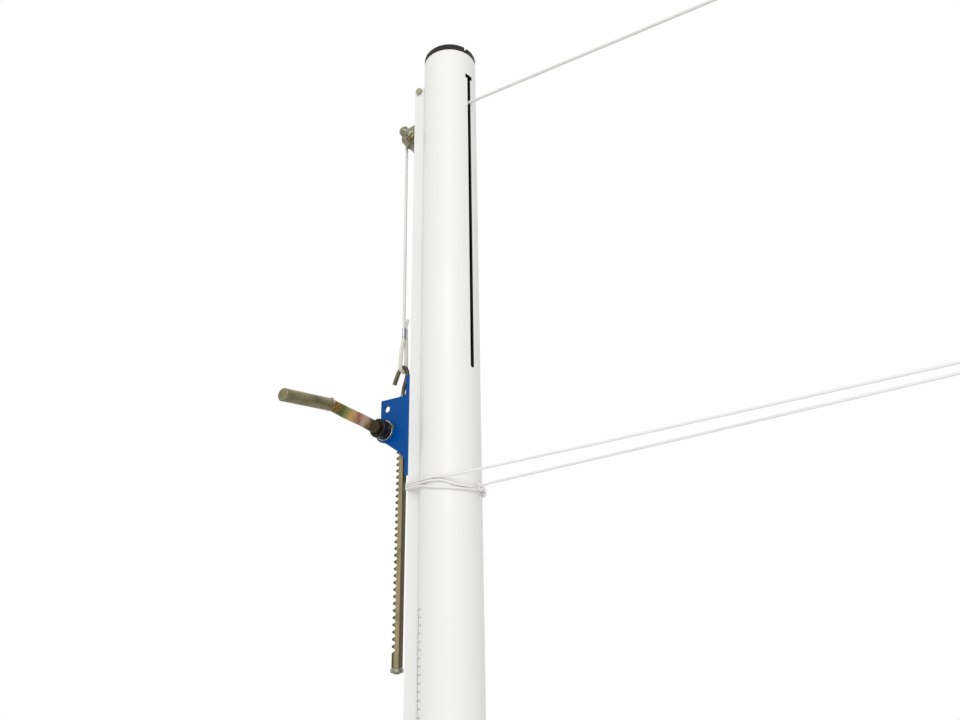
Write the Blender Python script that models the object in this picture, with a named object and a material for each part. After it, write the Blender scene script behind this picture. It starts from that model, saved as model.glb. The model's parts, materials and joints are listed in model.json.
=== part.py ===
"""Upper and lower rigging of one steel volleyball post, as separate solids.

One round post stands in a floor socket.  A C rail is welded to its back.  A pulley
carriage and a rack-and-pinion tensioner slide on the rail.  The net's top cable comes
through slots in the post, turns down over the pulley and ends in an eye on the rack's
hook.  The net's lower cord is tied round the post below the tensioner.

Metres, +Z up.  The origin is the centre of the foot's flat underside.  +X points to
the net, the rail is at -X and the crank stands out towards -Y.
"""
import math

import bmesh
import bpy
from mathutils import Matrix, Vector

# ---------------------------------------------------------------- driving dimensions
GAP = 0.0003                    # running or seating clearance between two solids

POST_RADIUS = 0.04445
POST_WALL = 0.003
POST_TOP = 2.890                # height of the tube's upper edge over the foot
FOOT_THICKNESS = 0.006
PLUG_DEPTH = 0.030
PLUG_WALL = 0.003
CAP_RISE = 0.013
CAP_SHOULDER = 0.003
CAP_NOTCH = 0.0055
CAP_NOTCH_TURN = math.radians(-17.5)

SLOT_WIDTH = 0.007              # slot in the front wall, for the cable
SLOT_TURN = math.radians(-9.5)  # it lies to the crank's side of the net's plane
SLOT_TOP_DROP = 0.0434          # drops are measured down from POST_TOP
SLOT_LENGTH = 0.537
SLOT_HEAD_WIDTH = 0.0157
SLOT_HEAD_HEIGHT = 0.008
BACK_SLOT_WIDTH = 0.012

RAIL_WIDTH = 0.030
RAIL_DEPTH = 0.020
RAIL_WALL = 0.002
RAIL_MOUTH = 0.014
RAIL_TOP_DROP = 0.032
RAIL_LENGTH = 1.600
RAIL_WELD_LENGTH = 0.030
RAIL_WELD_PITCH = 0.200
RAIL_WELD_REACH = 0.0022        # beyond the rail's side

END_BOLT_DROP = 0.0385          # cross bolt at the rail's top, the carriage's end stop
END_BOLT_INSET = 0.0105
END_BOLT_RADIUS = 0.0035
END_BOLT_FLATS = 0.011
END_BOLT_HEAD = 0.0048
END_NUT_HEIGHT = 0.0055

CABLE_RADIUS = 0.0025
NET_CABLE_DROP = 0.1012         # top cable below the tube's upper edge
NET_CABLE_TURN = math.radians(1.75)
CABLE_STANDOFF = 0.02475        # vertical cable in front of the rail's face

PULLEY_STANDOFF = 0.01375       # axle in front of the rail's face
PULLEY_DROP = 0.1195
PULLEY_PITCH_RADIUS = 0.014
PULLEY_FLANGE = 0.004           # rim beyond the cable's centre line
PULLEY_WIDTH = 0.012
PULLEY_BUSH_WALL = 0.0015
AXLE_RADIUS = 0.005
AXLE_HEAD_FLATS = 0.017
AXLE_HEAD_HEIGHT = 0.0064
AXLE_TAIL = 0.0022
SPACER_THICKNESS = 0.0015
BRACKET_NOSE = 0.017            # radius of the cheeks about the axle
BRACKET_CHEEK = 0.003
BRACKET_WEB = 0.004
BRACKET_RISE = 0.0192           # from the axle to the cheeks' upper corner
BRACKET_HEIGHT = 0.0557
BRACKET_WEB_HEIGHT = 0.018
WASHER_THICKNESS = 0.002
NUT_HEIGHT = 0.008
LOCK_NUT_HEIGHT = 0.0085

SLIDE_SCREW_RADIUS = 0.004
SLIDE_SCREW_FLATS = 0.013
SLIDE_SCREW_HEAD = 0.0053
SLIDE_NUT_LENGTH = 0.024
SLIDE_NUT_SIDE_PLAY = 0.001
SLIDE_NUT_THICKNESS = 0.006

HOUSING_TOP_DROP = 0.570
HOUSING_LENGTH = 0.155
HOUSING_WIDTH = 0.030
HOUSING_SHEET = 0.003
HOUSING_WEB = 0.004
HOUSING_FLANGE_DEPTH = 0.0067
HOUSING_DEPTH = 0.0537
CHEEK_TOP_OFFSET = 0.032        # from the housing's top to the cheek's top edge
CHEEK_EDGE_LENGTH = 0.062
CHEEK_SLOPE_FALL = 0.0235
BEND_RADIUS = 0.0045
LOCK_HOLE_RADIUS = 0.005

RACK_STANDOFF = 0.01775         # rack's back face in front of the rail's face
RACK_DEPTH = 0.0125
RACK_WIDTH = 0.009
RACK_TOP_DROP = 0.600
RACK_LENGTH = 0.3857
RACK_PLAIN_TOP = 0.020          # ends left without teeth
RACK_PLAIN_FOOT = 0.010
STOP_PLATE_RADIUS = 0.009
STOP_PLATE_THICKNESS = 0.006
STOP_SCREW_RADIUS = 0.0025
STOP_SCREW_FLATS = 0.008
STOP_SCREW_HEAD = 0.0035
STOP_SCREW_REACH = 0.012

MODULE = 0.003
PINION_TEETH = 10
PRESSURE_ANGLE = math.radians(25.0)
ADDENDUM = 0.75                 # in modules, a stub tooth
ROOT_CLEARANCE = 0.15           # in modules
BACKLASH = 0.00035              # taken off each tooth's thickness
PINION_DROP = 0.652
PINION_WIDTH = 0.012
SHAFT_RADIUS = 0.006
SHAFT_SQUARE = 0.0084
BUSH_WALL = 0.0015
BUSH_FLANGE = 0.001
BUSH_FLANGE_RADIUS = 0.0095
BOSS_RADIUS = 0.0185
BOSS_HEIGHT = 0.0025

BRAKE_RING_RADIUS = 0.0155      # fixed ring that the hub's lining bears on
BRAKE_RING_WIDTH = 0.0022
BRAKE_TAB_REACH = 0.0178
BRAKE_TAB_WIDTH = 0.006
BRAKE_TAB_ANGLE = math.radians(14.0)
BRAKE_PIN_RADIUS = 0.0012
LINING_RADIUS = 0.0115
LINING_THICKNESS = 0.0018
BRAKE_SPRING_RADIUS = 0.0105
BRAKE_SPRING_THICKNESS = 0.0012
HUB_RADIUS = 0.0145
HUB_LENGTH = 0.0165
HUB_GROOVE = 0.0012
COLLAR_RADIUS = 0.0095
COLLAR_WIDTH = 0.007
COLLAR_SCREW_RADIUS = 0.0025
CRANK_ANGLE = math.radians(31.0)
CRANK_RADIUS = 0.087
CRANK_BAR_WIDTH = 0.018
CRANK_BAR_THICKNESS = 0.006
CRANK_OFFSET = 0.015            # the S bend carries the grip clear of the post
CRANK_BEND_START = 0.030
CRANK_BEND_RUN = 0.028
GRIP_RADIUS = 0.010
GRIP_LENGTH = 0.097
GRIP_CHAMFER = 0.0009
GRIP_FALL = 0.115               # the grip leans down and back along its length
GRIP_LEAN = 0.030

HOOK_RADIUS = 0.003
HOOK_NUT_FLATS = 0.010
HOOK_NUT_HEIGHT = 0.005
HOOK_SOCKET_DEPTH = 0.018
HOOK_APEX_RISE = 0.0518         # hook's crown over the rack's top end

SLEEVE_RADIUS = 0.0031          # the cable is sleeved round its eyes
EYE_HALF_WIDTH = 0.0066
EYE_SEAT = 0.0008               # the crown curves away over the eye's width
FERRULE_TOP_DROP = 0.481
FERRULE_LENGTH = 0.018
FERRULE_HALF_WIDTH = 0.0062
FERRULE_HALF_DEPTH = 0.0038

NET_CABLE_LENGTH = 0.476        # to the cable's far eye, outside the photographed view
NET_EYE_LENGTH = 0.060

CORD_RADIUS = 0.0017
CORD_DROP = 0.757               # the lower cord's knot

# ---------------------------------------------------------------- derived positions
AXIS_OUT = -1.0                 # the rail side is -X
RAIL_BACK_X = AXIS_OUT * (POST_RADIUS + GAP)
RAIL_FACE_X = RAIL_BACK_X - RAIL_DEPTH
SEAT_X = RAIL_FACE_X - GAP      # back of everything that slides on the rail
RAIL_TOP = POST_TOP - RAIL_TOP_DROP
CABLE_X = RAIL_FACE_X - CABLE_STANDOFF
NET_CABLE_Z = POST_TOP - NET_CABLE_DROP

SLOT_EXIT = Vector((POST_RADIUS * math.cos(SLOT_TURN), POST_RADIUS * math.sin(SLOT_TURN), NET_CABLE_Z))
NET_FRAME = Matrix.Translation(SLOT_EXIT) @ Matrix.Rotation(NET_CABLE_TURN, 4, "Z")

PULLEY_RADIUS = PULLEY_PITCH_RADIUS + PULLEY_FLANGE
PULLEY_AXIS = Vector((RAIL_FACE_X - PULLEY_STANDOFF, 0.0, POST_TOP - PULLEY_DROP))
BRACKET_INNER = PULLEY_WIDTH / 2 + SPACER_THICKNESS + 2 * GAP
BRACKET_OUTER = BRACKET_INNER + BRACKET_CHEEK
BRACKET_TOP = PULLEY_AXIS.z + BRACKET_RISE
BRACKET_BOTTOM = BRACKET_TOP - BRACKET_HEIGHT
CARRIAGE_SCREW_Z = BRACKET_BOTTOM + BRACKET_WEB_HEIGHT / 2

HOUSING_TOP = POST_TOP - HOUSING_TOP_DROP
HOUSING_BOTTOM = HOUSING_TOP - HOUSING_LENGTH
HOUSING_HALF = HOUSING_WIDTH / 2
HOUSING_INNER = HOUSING_HALF - HOUSING_SHEET
HOUSING_SCREW_INSET = 0.014

RACK_BACK_X = RAIL_FACE_X - RACK_STANDOFF
RACK_TIP_X = RACK_BACK_X - RACK_DEPTH
RACK_AXIS_X = (RACK_BACK_X + RACK_TIP_X) / 2
RACK_TOP = POST_TOP - RACK_TOP_DROP
RACK_BOTTOM = RACK_TOP - RACK_LENGTH
RACK_PITCH = math.pi * MODULE
PITCH_RADIUS = MODULE * PINION_TEETH / 2
PINION_AXIS = Vector((RACK_TIP_X + ADDENDUM * MODULE - PITCH_RADIUS, 0.0, POST_TOP - PINION_DROP))

BRAKE_RING_Y = -(HOUSING_HALF + BOSS_HEIGHT + GAP)
HUB_Y = BRAKE_RING_Y - BRAKE_RING_WIDTH - GAP
BAR_Y = HUB_Y - HUB_LENGTH - GAP
COLLAR_Y = HOUSING_HALF + GAP + BUSH_FLANGE + GAP


# ---------------------------------------------------------------- modelling helpers
def clear_scene():
    for item in list(bpy.data.objects):
        bpy.data.objects.remove(item, do_unlink=True)


def material(name, colour, roughness, metallic=0.0):
    """Principled material; colour is linear RGB."""
    found = bpy.data.materials.get(name)
    if found:
        return found
    made = bpy.data.materials.new(name)
    made.use_nodes = True
    shader = made.node_tree.nodes["Principled BSDF"]
    shader.inputs["Base Color"].default_value = (*colour, 1.0)
    shader.inputs["Roughness"].default_value = roughness
    shader.inputs["Metallic"].default_value = metallic
    made.diffuse_color = (*colour, 1.0)
    return made


FINISHES = {
    "white_powder_coat": ((0.80, 0.80, 0.78), 0.35, 0.0),
    "blue_powder_coat": ((0.02, 0.10, 0.42), 0.35, 0.0),
    "yellow_zinc": ((0.55, 0.47, 0.25), 0.32, 1.0),
    "bright_zinc": ((0.60, 0.62, 0.64), 0.30, 1.0),
    "black_plastic": ((0.025, 0.020, 0.018), 0.45, 0.0),
    "black_oxide_steel": ((0.03, 0.03, 0.028), 0.40, 1.0),
    "machined_steel": ((0.45, 0.45, 0.45), 0.35, 1.0),
    "spring_steel": ((0.30, 0.30, 0.31), 0.30, 1.0),
    "bronze": ((0.45, 0.27, 0.10), 0.35, 1.0),
    "brake_lining": ((0.16, 0.10, 0.06), 0.75, 0.0),
    "acetal": ((0.70, 0.70, 0.66), 0.45, 0.0),
    "white_coated_cable": ((0.72, 0.72, 0.70), 0.50, 0.0),
    "white_braided_cord": ((0.78, 0.78, 0.76), 0.85, 0.0),
    "pressed_aluminium": ((0.62, 0.63, 0.65), 0.38, 1.0),
}


def add_object(name, bm, finish, origin=Vector((0, 0, 0)), parent=None):
    """Turn a world-space bmesh into an object whose origin lies at the given point."""
    bmesh.ops.recalc_face_normals(bm, faces=bm.faces)
    bmesh.ops.translate(bm, verts=bm.verts, vec=-Vector(origin))
    mesh = bpy.data.meshes.new(name)
    bm.to_mesh(mesh)
    bm.free()
    mesh.shade_smooth()
    mesh.set_sharp_from_angle(angle=math.radians(35))
    made = bpy.data.objects.new(name, mesh)
    bpy.context.collection.objects.link(made)
    made.location = origin
    if finish:
        mesh.materials.append(material(finish, *FINISHES[finish]))
    if parent:
        made.parent = parent
        made.matrix_parent_inverse = Matrix.Translation(-parent.location)
    return made


def add_empty(name, location, parent=None):
    made = bpy.data.objects.new(name, None)
    bpy.context.collection.objects.link(made)
    made.location = location
    made.empty_display_size = 0.03
    if parent:
        made.parent = parent
        made.matrix_parent_inverse = Matrix.Translation(-parent.location)
    return made


def boolean(target, bm, operation="DIFFERENCE"):
    """Give the target a live Boolean with a hidden tool made from the bmesh."""
    name = f"{target.name}.tool{len(target.modifiers)}"
    tool = add_object(name, bm, None)
    tool.hide_render = True
    tool.display_type = "WIRE"
    cut = target.modifiers.new(operation.title(), "BOOLEAN")
    cut.operation = operation
    cut.object = tool
    cut.solver = "EXACT"


AXIS_TURN = {
    "X": Matrix.Rotation(math.radians(90), 4, "Y"),
    "Y": Matrix.Rotation(math.radians(-90), 4, "X"),
    "Z": Matrix.Identity(4),
}


def add_box(bm, low, high):
    low, high = Vector(low), Vector(high)
    place = Matrix.Translation((low + high) / 2) @ Matrix.Diagonal((*(high - low), 1.0))
    return bmesh.ops.create_cube(bm, size=1.0, matrix=place)["verts"]


def add_cylinder(bm, centre, axis, start, end, radius, sides=24, turn=0.0):
    """A rod along an axis through centre, from start to end on that axis."""
    offset = Vector((0, 0, 0))
    offset["XYZ".index(axis)] = (start + end) / 2
    base = Vector(centre)
    base["XYZ".index(axis)] = 0.0
    place = Matrix.Translation(base + offset) @ AXIS_TURN[axis] @ Matrix.Rotation(turn, 4, "Z")
    made = bmesh.ops.create_cone(bm, cap_ends=True, segments=sides, radius1=radius,
                                 radius2=radius, depth=abs(end - start), matrix=place)
    return made["verts"]


def add_hexagon(bm, centre, axis, start, end, flats):
    return add_cylinder(bm, centre, axis, start, end, flats / math.sqrt(3), 6, math.radians(30))


def add_turned(bm, profile, centre, axis, sides=32):
    """Revolve (radius, height) points into a closed body about an axis through centre."""
    rings = [bm.verts.new((radius, 0.0, height)) for radius, height in profile]
    edges = [bm.edges.new((rings[i - 1], rings[i])) for i in range(len(rings))]
    bmesh.ops.spin(bm, geom=rings + edges, cent=(0, 0, 0), axis=(0, 0, 1), angle=math.tau,
                   steps=sides, use_merge=True, use_duplicate=False)
    bmesh.ops.remove_doubles(bm, verts=bm.verts, dist=1e-7)
    place = Matrix.Translation(Vector(centre)) @ AXIS_TURN[axis]
    bmesh.ops.transform(bm, matrix=place, verts=bm.verts)


def add_prism(bm, outline, normal, start, end):
    """Extrude an outline.  Normal Y takes (x, z) points, normal Z takes (x, y) points."""
    if normal == "Y":
        corners = [Vector((a, start, b)) for a, b in outline]
        travel = Vector((0, end - start, 0))
    else:
        corners = [Vector((a, b, start)) for a, b in outline]
        travel = Vector((0, 0, end - start))
    face = bm.faces.new([bm.verts.new(corner) for corner in corners])
    grown = bmesh.ops.extrude_face_region(bm, geom=[face])
    moved = [item for item in grown["geom"] if isinstance(item, bmesh.types.BMVert)]
    bmesh.ops.translate(bm, verts=moved, vec=travel)
    return moved


def rounded(corners, steps=5):
    """Outline from (a, b, fillet radius) corners, with each fillet as an arc."""
    outline = []
    count = len(corners)
    for index, (a, b, radius) in enumerate(corners):
        here = Vector((a, b))
        if radius <= 0:
            outline.append((a, b))
            continue
        back = (Vector(corners[index - 1][:2]) - here).normalized()
        ahead = (Vector(corners[(index + 1) % count][:2]) - here).normalized()
        half = back.angle(ahead) / 2
        reach = radius / math.tan(half)
        middle = here + (back + ahead).normalized() * (radius / math.sin(half))
        start = here + back * reach - middle
        sweep = start.angle_signed(here + ahead * reach - middle)
        for step in range(steps + 1):
            arm = start.copy()
            arm.rotate(Matrix.Rotation(-sweep * step / steps, 2))
            outline.append(tuple(middle + arm))
    return outline


def arc(centre, radius, start, end, steps):
    """Points of an arc, angles in radians, as (a, b) pairs."""
    angles = [start + (end - start) * step / steps for step in range(steps + 1)]
    return [(centre[0] + radius * math.cos(turn), centre[1] + radius * math.sin(turn))
            for turn in angles]


def smooth_route(points, spacing):
    """Catmull-Rom points through a route, spaced by no more than the given step."""
    points = [Vector(point) for point in points]
    ends = [2 * points[0] - points[1]] + points + [2 * points[-1] - points[-2]]
    route = []
    for index in range(1, len(ends) - 2):
        before, start, end, after = ends[index - 1:index + 3]
        steps = max(1, math.ceil((end - start).length / spacing))
        for step in range(steps):
            t = step / steps
            route.append(0.5 * (2 * start + (end - before) * t
                                + (2 * before - 5 * start + 4 * end - after) * t * t
                                + (3 * start - before - 3 * end + after) * t ** 3))
    return route + [points[-1]]


def add_tube(name, points, radius, finish, resolution=2, parent=None):
    """A round tube along points, as a curve with a bevel and filled ends."""
    curve = bpy.data.curves.new(name, "CURVE")
    curve.dimensions = "3D"
    curve.bevel_depth = radius
    curve.bevel_resolution = resolution
    curve.use_fill_caps = True
    spline = curve.splines.new("POLY")
    spline.points.add(len(points) - 1)
    for slot, point in zip(spline.points, points):
        slot.co = (*point, 1.0)
    curve.materials.append(material(finish, *FINISHES[finish]))
    made = bpy.data.objects.new(name, curve)
    bpy.context.collection.objects.link(made)
    if parent:
        made.parent = parent
        made.matrix_parent_inverse = Matrix.Translation(-parent.location)
    return made


# ---------------------------------------------------------------- post
def turn_about_post(bm, angle):
    bmesh.ops.rotate(bm, verts=bm.verts, cent=(0, 0, 0), matrix=Matrix.Rotation(angle, 3, "Z"))


def slot_outline_tool(width, top, bottom, start_x, end_x, head=None):
    """One closed cutter for a slot: straight sides, round foot and an optional T head."""
    half = width / 2
    foot = [(y, z) for y, z in arc((0, bottom + half), half, math.pi, math.tau, 8)]
    if head:
        wide, tall = head
        upper = [(half, top - tall), (wide / 2, top - tall), (wide / 2, top),
                 (-wide / 2, top), (-wide / 2, top - tall), (-half, top - tall)]
    else:
        upper = [(half, top), (-half, top)]
    bm = bmesh.new()
    face = bm.faces.new([bm.verts.new((start_x, y, z)) for y, z in foot + upper])
    grown = bmesh.ops.extrude_face_region(bm, geom=[face])
    moved = [item for item in grown["geom"] if isinstance(item, bmesh.types.BMVert)]
    bmesh.ops.translate(bm, verts=moved, vec=(end_x - start_x, 0, 0))
    return bm


def make_post(parent):
    inner = POST_RADIUS - POST_WALL
    bottom = FOOT_THICKNESS + GAP
    bm = bmesh.new()
    add_turned(bm, [(POST_RADIUS, POST_TOP), (POST_RADIUS, bottom), (inner, bottom),
                    (inner, POST_TOP)], (0, 0, 0), "Z", 64)
    tube = add_object("post_tube", bm, "white_powder_coat", parent=parent)
    top = POST_TOP - SLOT_TOP_DROP
    low = top - SLOT_LENGTH
    deep = POST_RADIUS / 2
    far = POST_RADIUS * 1.5
    front_slot = slot_outline_tool(SLOT_WIDTH, top, low, deep, far, (SLOT_HEAD_WIDTH, SLOT_HEAD_HEIGHT))
    turn_about_post(front_slot, SLOT_TURN)
    boolean(tube, front_slot)
    boolean(tube, slot_outline_tool(BACK_SLOT_WIDTH, top, low, -far, -deep))

    bm = bmesh.new()
    plug = inner - GAP
    bore = plug - PLUG_WALL
    top_of_plug = FOOT_THICKNESS + PLUG_DEPTH
    add_turned(bm, [(0, FOOT_THICKNESS), (bore, FOOT_THICKNESS), (bore, top_of_plug),
                    (plug, top_of_plug), (plug, FOOT_THICKNESS), (POST_RADIUS, FOOT_THICKNESS),
                    (POST_RADIUS, 0), (0, 0)], (0, 0, 0), "Z", 48)
    add_object("foot_plug", bm, "black_plastic", parent=parent)

    bm = bmesh.new()
    seat = POST_TOP + GAP
    crown = seat + CAP_RISE
    skirt = POST_TOP - PLUG_DEPTH / 2
    corner = (POST_RADIUS - CAP_SHOULDER, crown - CAP_SHOULDER)
    shoulder = arc(corner, CAP_SHOULDER, math.pi / 2, 0, 4)
    add_turned(bm, [(0, crown)] + shoulder + [(POST_RADIUS, seat), (plug, seat), (plug, skirt),
                                              (bore, skirt), (bore, seat), (0, seat)],
               (0, 0, 0), "Z", 48)
    cap = add_object("top_cap", bm, "black_plastic", parent=parent)
    notch = bmesh.new()
    add_box(notch, (bore, -CAP_NOTCH / 2, skirt - CAP_SHOULDER),
            (POST_RADIUS * 1.2, CAP_NOTCH / 2, crown + CAP_SHOULDER))
    turn_about_post(notch, CAP_NOTCH_TURN)
    boolean(cap, notch)


def make_rail(parent):
    half = RAIL_WIDTH / 2
    mouth = RAIL_MOUTH / 2
    back, face = RAIL_BACK_X, RAIL_FACE_X
    inner = half - RAIL_WALL
    outline = [(back, -half), (face, -half), (face, -mouth), (face + RAIL_WALL, -mouth),
               (face + RAIL_WALL, -inner), (back - RAIL_WALL, -inner), (back - RAIL_WALL, inner),
               (face + RAIL_WALL, inner), (face + RAIL_WALL, mouth), (face, mouth), (face, half),
               (back, half)]
    bm = bmesh.new()
    add_prism(bm, outline, "Z", RAIL_TOP - RAIL_LENGTH, RAIL_TOP)
    rail = add_object("rail", bm, "white_powder_coat", parent=parent)
    top = POST_TOP - SLOT_TOP_DROP
    boolean(rail, slot_outline_tool(BACK_SLOT_WIDTH, top - RAIL_WALL, top - SLOT_LENGTH,
                                    back - RAIL_WALL * 2, back + RAIL_WALL))

    welds = bmesh.new()
    clear = POST_RADIUS + GAP
    reach = half + RAIL_WELD_REACH
    count = int(RAIL_LENGTH / RAIL_WELD_PITCH)
    for side in (-1, 1):
        near, wide = half - 0.0012, reach
        seat = [(-math.sqrt(clear ** 2 - (near + (wide - near) * t) ** 2), near + (wide - near) * t)
                for t in (0.0, 0.5, 1.0)]
        section = [(back - 0.004, half - RAIL_WALL / 2), (back - RAIL_WALL / 2, near)] + seat
        for index in range(count):
            middle = RAIL_TOP - RAIL_WELD_PITCH * (index + 0.5)
            add_prism(welds, [(x, side * y) for x, y in section], "Z",
                      middle - RAIL_WELD_LENGTH / 2, middle + RAIL_WELD_LENGTH / 2)
    boolean(rail, welds, "UNION")
    holes = bmesh.new()
    add_cylinder(holes, end_bolt_centre(), "Y", -RAIL_WIDTH, RAIL_WIDTH, END_BOLT_RADIUS + GAP, 20)
    boolean(rail, holes)


def end_bolt_centre():
    return Vector((RAIL_FACE_X + END_BOLT_INSET, 0.0, POST_TOP - END_BOLT_DROP))


def make_end_bolt(parent):
    """Cross bolt and nut at the rail's top, which keep the slide nuts from leaving it."""
    centre = end_bolt_centre()
    seat = RAIL_WIDTH / 2 + GAP
    bm = bmesh.new()
    add_hexagon(bm, centre, "Y", -seat - END_BOLT_HEAD, -seat, END_BOLT_FLATS)
    bolt = add_object("rail_end_bolt", bm, "yellow_zinc", parent=parent)
    shank = bmesh.new()
    add_cylinder(shank, centre, "Y", -seat - END_BOLT_HEAD / 2, seat + END_NUT_HEIGHT + 0.002,
                 END_BOLT_RADIUS, 20)
    boolean(bolt, shank, "UNION")

    bm = bmesh.new()
    add_hexagon(bm, centre, "Y", seat, seat + END_NUT_HEIGHT, END_BOLT_FLATS)
    nut = add_object("rail_end_nut", bm, "yellow_zinc", parent=parent)
    bore = bmesh.new()
    add_cylinder(bore, centre, "Y", seat - 0.01, seat + 0.02, END_BOLT_RADIUS + GAP, 20)
    boolean(nut, bore)


# ---------------------------------------------------------------- pulley carriage
def make_slide_clamp(prefix, suffix, z, web, parent):
    """Nut behind the rail's lips and the hexagon screw that draws a web against them."""
    half = RAIL_WIDTH / 2 - RAIL_WALL - SLIDE_NUT_SIDE_PLAY
    front = RAIL_FACE_X + RAIL_WALL + GAP
    bm = bmesh.new()
    add_box(bm, (front, -half, z - SLIDE_NUT_LENGTH / 2),
            (front + SLIDE_NUT_THICKNESS, half, z + SLIDE_NUT_LENGTH / 2))
    nut = add_object(f"{prefix}_slide_nut{suffix}", bm, "machined_steel", parent=parent)
    bore = bmesh.new()
    add_cylinder(bore, (0, 0, z), "X", front - 0.01, front + 0.02, SLIDE_SCREW_RADIUS + GAP, 20)
    boolean(nut, bore)

    under_head = SEAT_X - web - GAP
    tip = front + SLIDE_NUT_THICKNESS + 0.002
    bm = bmesh.new()
    add_hexagon(bm, (0, 0, z), "X", under_head - SLIDE_SCREW_HEAD, under_head, SLIDE_SCREW_FLATS)
    screw = add_object(f"{prefix}_clamp_screw{suffix}", bm, "yellow_zinc", parent=parent)
    shank = bmesh.new()
    add_cylinder(shank, (0, 0, z), "X", under_head - SLIDE_SCREW_HEAD / 2, tip,
                 SLIDE_SCREW_RADIUS, 20)
    boolean(screw, shank, "UNION")


def make_bracket(parent):
    """Bent U bracket: two cheeks with a round nose, joined by a web at the foot."""
    axis = (PULLEY_AXIS.x, PULLEY_AXIS.z)
    nose = BRACKET_NOSE
    foot = Vector((SEAT_X - BRACKET_WEB, BRACKET_BOTTOM))
    to_foot = foot - Vector(axis)
    to_top = Vector((SEAT_X, BRACKET_TOP)) - Vector(axis)
    first = math.atan2(to_top.y, to_top.x) + math.acos(nose / to_top.length)
    last = math.atan2(to_foot.y, to_foot.x) + math.tau - math.acos(nose / to_foot.length)
    outline = [(SEAT_X, BRACKET_BOTTOM), (SEAT_X, BRACKET_TOP)]
    outline += arc(axis, nose, first, last, 12)
    outline += [tuple(foot)]
    bm = bmesh.new()
    add_prism(bm, outline, "Y", -BRACKET_OUTER, BRACKET_OUTER)
    corners = [edge for edge in bm.edges
               if all(abs(vert.co.x - SEAT_X) < 1e-6 for vert in edge.verts)
               and abs(edge.verts[0].co.y - edge.verts[1].co.y) < 1e-6]
    bmesh.ops.bevel(bm, geom=corners, offset=0.002, segments=3, profile=0.5, affect="EDGES",
                    material=-1)
    bracket = add_object("pulley_bracket", bm, "yellow_zinc", parent=parent)

    far = PULLEY_AXIS.x - nose * 2
    hollow = bmesh.new()
    add_box(hollow, (far, -BRACKET_INNER, BRACKET_BOTTOM - nose),
            (SEAT_X - BRACKET_WEB, BRACKET_INNER, BRACKET_TOP + nose))
    boolean(bracket, hollow)
    window = bmesh.new()
    add_box(window, (SEAT_X - BRACKET_WEB * 1.5, -BRACKET_INNER, BRACKET_BOTTOM + BRACKET_WEB_HEIGHT),
            (SEAT_X + BRACKET_WEB, BRACKET_INNER, BRACKET_TOP + nose))
    boolean(bracket, window)
    holes = bmesh.new()
    add_cylinder(holes, PULLEY_AXIS, "Y", -BRACKET_OUTER * 2, BRACKET_OUTER * 2, AXLE_RADIUS + GAP, 24)
    add_cylinder(holes, (0, 0, CARRIAGE_SCREW_Z), "X", SEAT_X - BRACKET_WEB * 1.5,
                 SEAT_X + BRACKET_WEB, SLIDE_SCREW_RADIUS + GAP, 20)
    boolean(bracket, holes)


def make_pulley(parent, pulley_parent):
    half = PULLEY_WIDTH / 2
    lip = 0.0008
    bore = AXLE_RADIUS + GAP + PULLEY_BUSH_WALL + GAP
    mouth = CABLE_RADIUS + GAP
    cup = [(PULLEY_PITCH_RADIUS - mouth * math.cos(turn), mouth * math.sin(turn))
           for turn in [math.radians(step) for step in range(-80, 81, 20)]]
    rim = [(PULLEY_RADIUS, -half + lip), (PULLEY_RADIUS, -mouth - lip)]
    profile = [(bore, half), (bore, -half), (PULLEY_RADIUS - lip, -half)] + rim
    profile += [(radius, height) for radius, height in cup]
    profile += [(PULLEY_RADIUS, mouth + lip), (PULLEY_RADIUS, half - lip), (PULLEY_RADIUS - lip, half)]
    bm = bmesh.new()
    add_turned(bm, profile, PULLEY_AXIS, "Y", 32)
    add_object("pulley_wheel", bm, "bright_zinc", PULLEY_AXIS, pulley_parent)

    bm = bmesh.new()
    inner = AXLE_RADIUS + GAP
    outer = inner + PULLEY_BUSH_WALL
    add_turned(bm, [(inner, half), (inner, -half), (outer, -half), (outer, half)], PULLEY_AXIS, "Y", 24)
    add_object("pulley_bush", bm, "bronze", PULLEY_AXIS, pulley_parent)

    ring = AXLE_RADIUS + GAP
    for side, place in ((-1, "near"), (1, "far")):
        start = side * (half + GAP)
        end = start + side * SPACER_THICKNESS
        bm = bmesh.new()
        add_turned(bm, [(ring, start), (ring, end), (ring + 0.003, end), (ring + 0.003, start)],
                   PULLEY_AXIS, "Y", 20)
        add_object(f"pulley_spacer_{place}", bm, "bright_zinc", parent=parent)


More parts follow.
